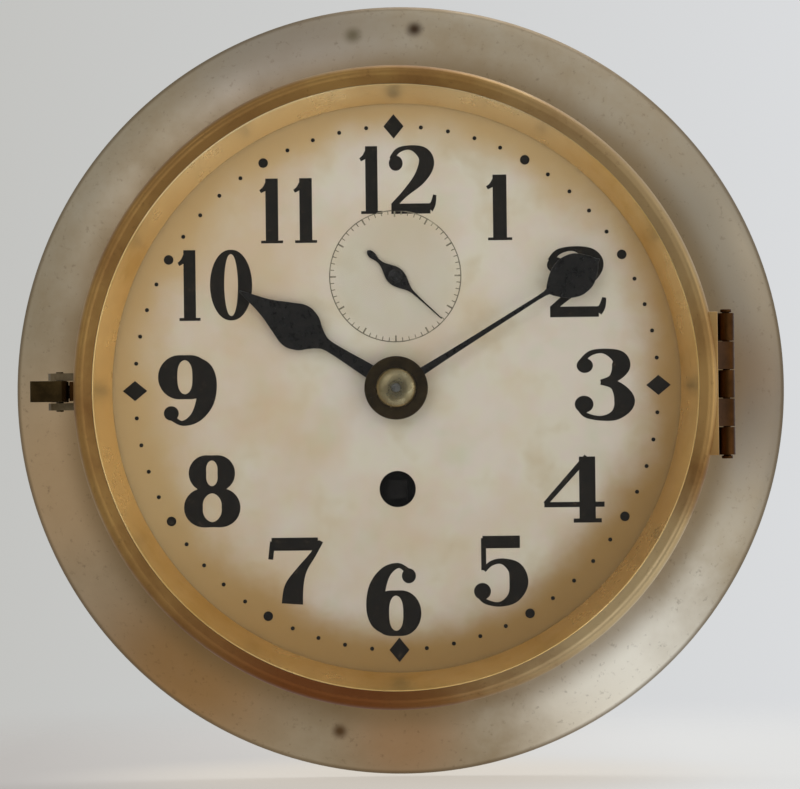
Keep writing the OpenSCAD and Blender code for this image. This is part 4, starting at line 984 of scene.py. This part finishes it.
# the latch's leaf spring, from its root on the bracket to its tip at the lever's tail
LEAF_WIDTH = 3.6
leaf_line = (flowing([(-86.25, 53.4), (-86.45, 50.6), (-87.45, 48.5), (-88.38, 46.6),
                      (-87.95, 45.45)], 6)
             + flowing([(-87.65, 45.5), (-88.03, 46.6), (-87.08, 48.5), (-86.05, 50.5),
                        (-85.72, 52.2)], 6)
             + [(-85.72, 53.4)])
leaf = stood_up(sheet("latch_leaf_spring", [leaf_line], 0, LEAF_WIDTH, ease=0.06),
                -LEAF_WIDTH / 2)
dress(leaf, ground_steel, None, "steel", "latch_spring")
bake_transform(leaf)

# balance spring: where the index pins travel, the outer turn runs true to the balance
BALANCE = (25.189, 4.884)
COIL_TURNS, COIL_START, COIL_GROWTH, COIL_THICKNESS = 7, 1.5, 4, 0.12
# turns from the inner end to the middle of the index pins' way, and steps to a turn
PINS_AT, COIL_STEPS = 6.5, 60


def coil_radius(turns):
    """Radius of the spiral: held even for a tenth of a turn each side of the pins' middle."""
    off = min(max(0.0, abs(turns - PINS_AT) - 0.1) / 0.3, 1)
    hold = 1 - off ** 2 * (3 - 2 * off)
    wound_to = COIL_START + COIL_GROWTH * turns / COIL_TURNS
    held_at = COIL_START + COIL_GROWTH * PINS_AT / COIL_TURNS
    return wound_to * (1 - hold) + held_at * hold


coil = []
for k in range(COIL_TURNS * COIL_STEPS + 1):
    a = math.radians(-25 + 360 / COIL_STEPS * k)
    coil.append((math.cos(a), math.sin(a), coil_radius(k / COIL_STEPS)))
strip = ([(x * r, y * r) for x, y, r in coil]
         + [(x * (r + COIL_THICKNESS), y * (r + COIL_THICKNESS)) for x, y, r in reversed(coil)])
balance_spring = sheet("balance_spring", [strip], 7.4, 8.1, ease=0.01, centre=BALANCE)
dress(balance_spring, blued_steel, "case", "blued_steel", "hairspring")

# the pieces that stay as the CAD draws them get their finish by slot
by_slot = {"nickel_plate": nickel_plate, "nickel_fitting": nickel_fitting,
           "door_brass": door_brass, "reflector_brass": reflector_brass,
           "dark_brass": dark_brass, "movement_brass": movement_brass,
           "dial_silver": dial_silver, "glass": glass, "hand_black": enamel,
           "steel": ground_steel, "blued_steel": blued_steel, "latch_dark": latch_dark,
           "ruby": ruby}
for name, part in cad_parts.items():
    for entry in part.material_slots:
        slot = entry.material.name.split(".")[0] if entry.material else ""
        if slot in by_slot:
            entry.material = by_slot[slot]
        # the winding arbor and ratchet take black steel, painted shade for the depth of the
        # winding hole
        if name in ("barrel_arbor", "ratchet_wheel"):
            entry.material = black_steel

# ---------------------------------------------------------------- light and floor


def paper_floor():
    """Pale paper, seen paler than it is lit so that it runs into the pale backdrop."""
    deselect()
    bpy.ops.mesh.primitive_plane_add(size=6, location=(0, 0, FLOOR_Z))
    floor = bpy.context.object
    floor.name = "floor"
    apply_transform()
    material, tree, coords = new_material("pale_floor_paper")
    away = measure(tree, "DISTANCE", coords, (0.0, 0.0, FLOOR_Z))
    paper = node(tree, "ShaderNodeBsdfDiffuse", Color=linear("EDECEA"))
    parts = node(tree, "ShaderNodeSeparateXYZ", Vector=coords)
    # as seen, the paper is painted darker on the left and paler on the right, painted light
    # falling from the right
    pale = tone(tree, ranged(tree, parts.outputs["X"], -0.12, 0.12), (0.0, "ADA9A6"),
                (0.5, "D2D0CE"), (0.85, "E2E3E3"))
    # a painted warm glow on the paper just under the clock, light thrown back from the brass
    # and brown nickel
    pale = mixed(tree, eased_in(tree, away, 0.115, 0.03, 0.0, 0.9), pale, "E0D8CC")
    plain = node(tree, "ShaderNodeEmission", Color=pale, Strength=1.0)
    seen = any_ray(tree, node(tree, "ShaderNodeLightPath"), "Camera", "Glossy", "Transmission")
    shown = mixed_shaders(tree, calc(tree, "MULTIPLY", seen, 0.72), paper, plain)
    surface(tree, mixed_shaders(tree, eased_in(tree, away, 0.12, 0.45), shown,
                                node(tree, "ShaderNodeBsdfTransparent")))
    floor.data.materials.append(material)


def soft_room():
    """Even grey light, a backdrop paler on the right, and what the metal and glass mirror."""
    world = bpy.data.worlds.new("soft_room")
    bpy.context.scene.world = world
    world.use_nodes = True
    tree = world.node_tree
    tree.nodes.clear()
    direction = node(tree, "ShaderNodeTexCoord").outputs["Generated"]
    parts = node(tree, "ShaderNodeSeparateXYZ", Vector=direction)
    # painted light on the backdrop: darker on the left and paler on the right, as lit from the
    # right
    shown = mixed(tree, ranged(tree, parts.outputs["X"], -0.10, 0.10), "C3C3C0", "DFE1E4")
    # a wide window low on the right, seen only in the metal and felt as light
    window = measure(tree, "DOT_PRODUCT", direction, Vector((0.56, -0.72, -0.41)).normalized())
    window = eased_in(tree, window, 0.86, 0.98, 0.0, 0.9)
    # the dark side of the room behind the viewer, which the glass mirrors
    behind = eased_in(tree, parts.outputs["Y"], -0.90, -0.975, 1.0, 0.12)
    path = node(tree, "ShaderNodeLightPath")
    by_camera = path.outputs["Is Camera Ray"]
    glow = calc(tree, "MULTIPLY", window, calc(tree, "SUBTRACT", 1.0, by_camera))
    level = calc(tree, "ADD", glow, calc(tree, "MAXIMUM", behind, by_camera))
    seen = node(tree, "ShaderNodeBackground", Color=shown, Strength=level)
    lit = node(tree, "ShaderNodeBackground", Color=linear("F4F2EE"),
               Strength=calc(tree, "MULTIPLY_ADD", glow, 2.1, 0.83))
    direct = any_ray(tree, path, "Camera", "Glossy", "Transmission")
    node(tree, "ShaderNodeOutputWorld",
         Surface=mixed_shaders(tree, direct, lit, seen).outputs[0])


def lamp(name, at, size, power, colour="FFFFFF"):
    """A round lamp, its place and size in metres and its power in watts, facing the clock."""
    deselect()
    bpy.ops.object.light_add(type="AREA", location=at)
    light = bpy.context.object
    light.name = name
    light.data.shape = "DISK"
    light.data.size = size
    light.data.energy = power
    light.data.color = linear(colour)[:3]
    towards_clock = Vector((0, -0.05, 0)) - Vector(at)
    light.rotation_euler = towards_clock.to_track_quat("-Z", "Y").to_euler()


paper_floor()
soft_room()
lamp("key_right", (1.4, -0.62, 0.25), 0.9, 1.5, "FFF8EE")
lamp("front_fill", (-0.45, -1.2, 0.5), 0.6, 1.6, "F6F6FF")
lamp("top_back", (0.3, 0.7, 1.3), 1.0, 5.0)
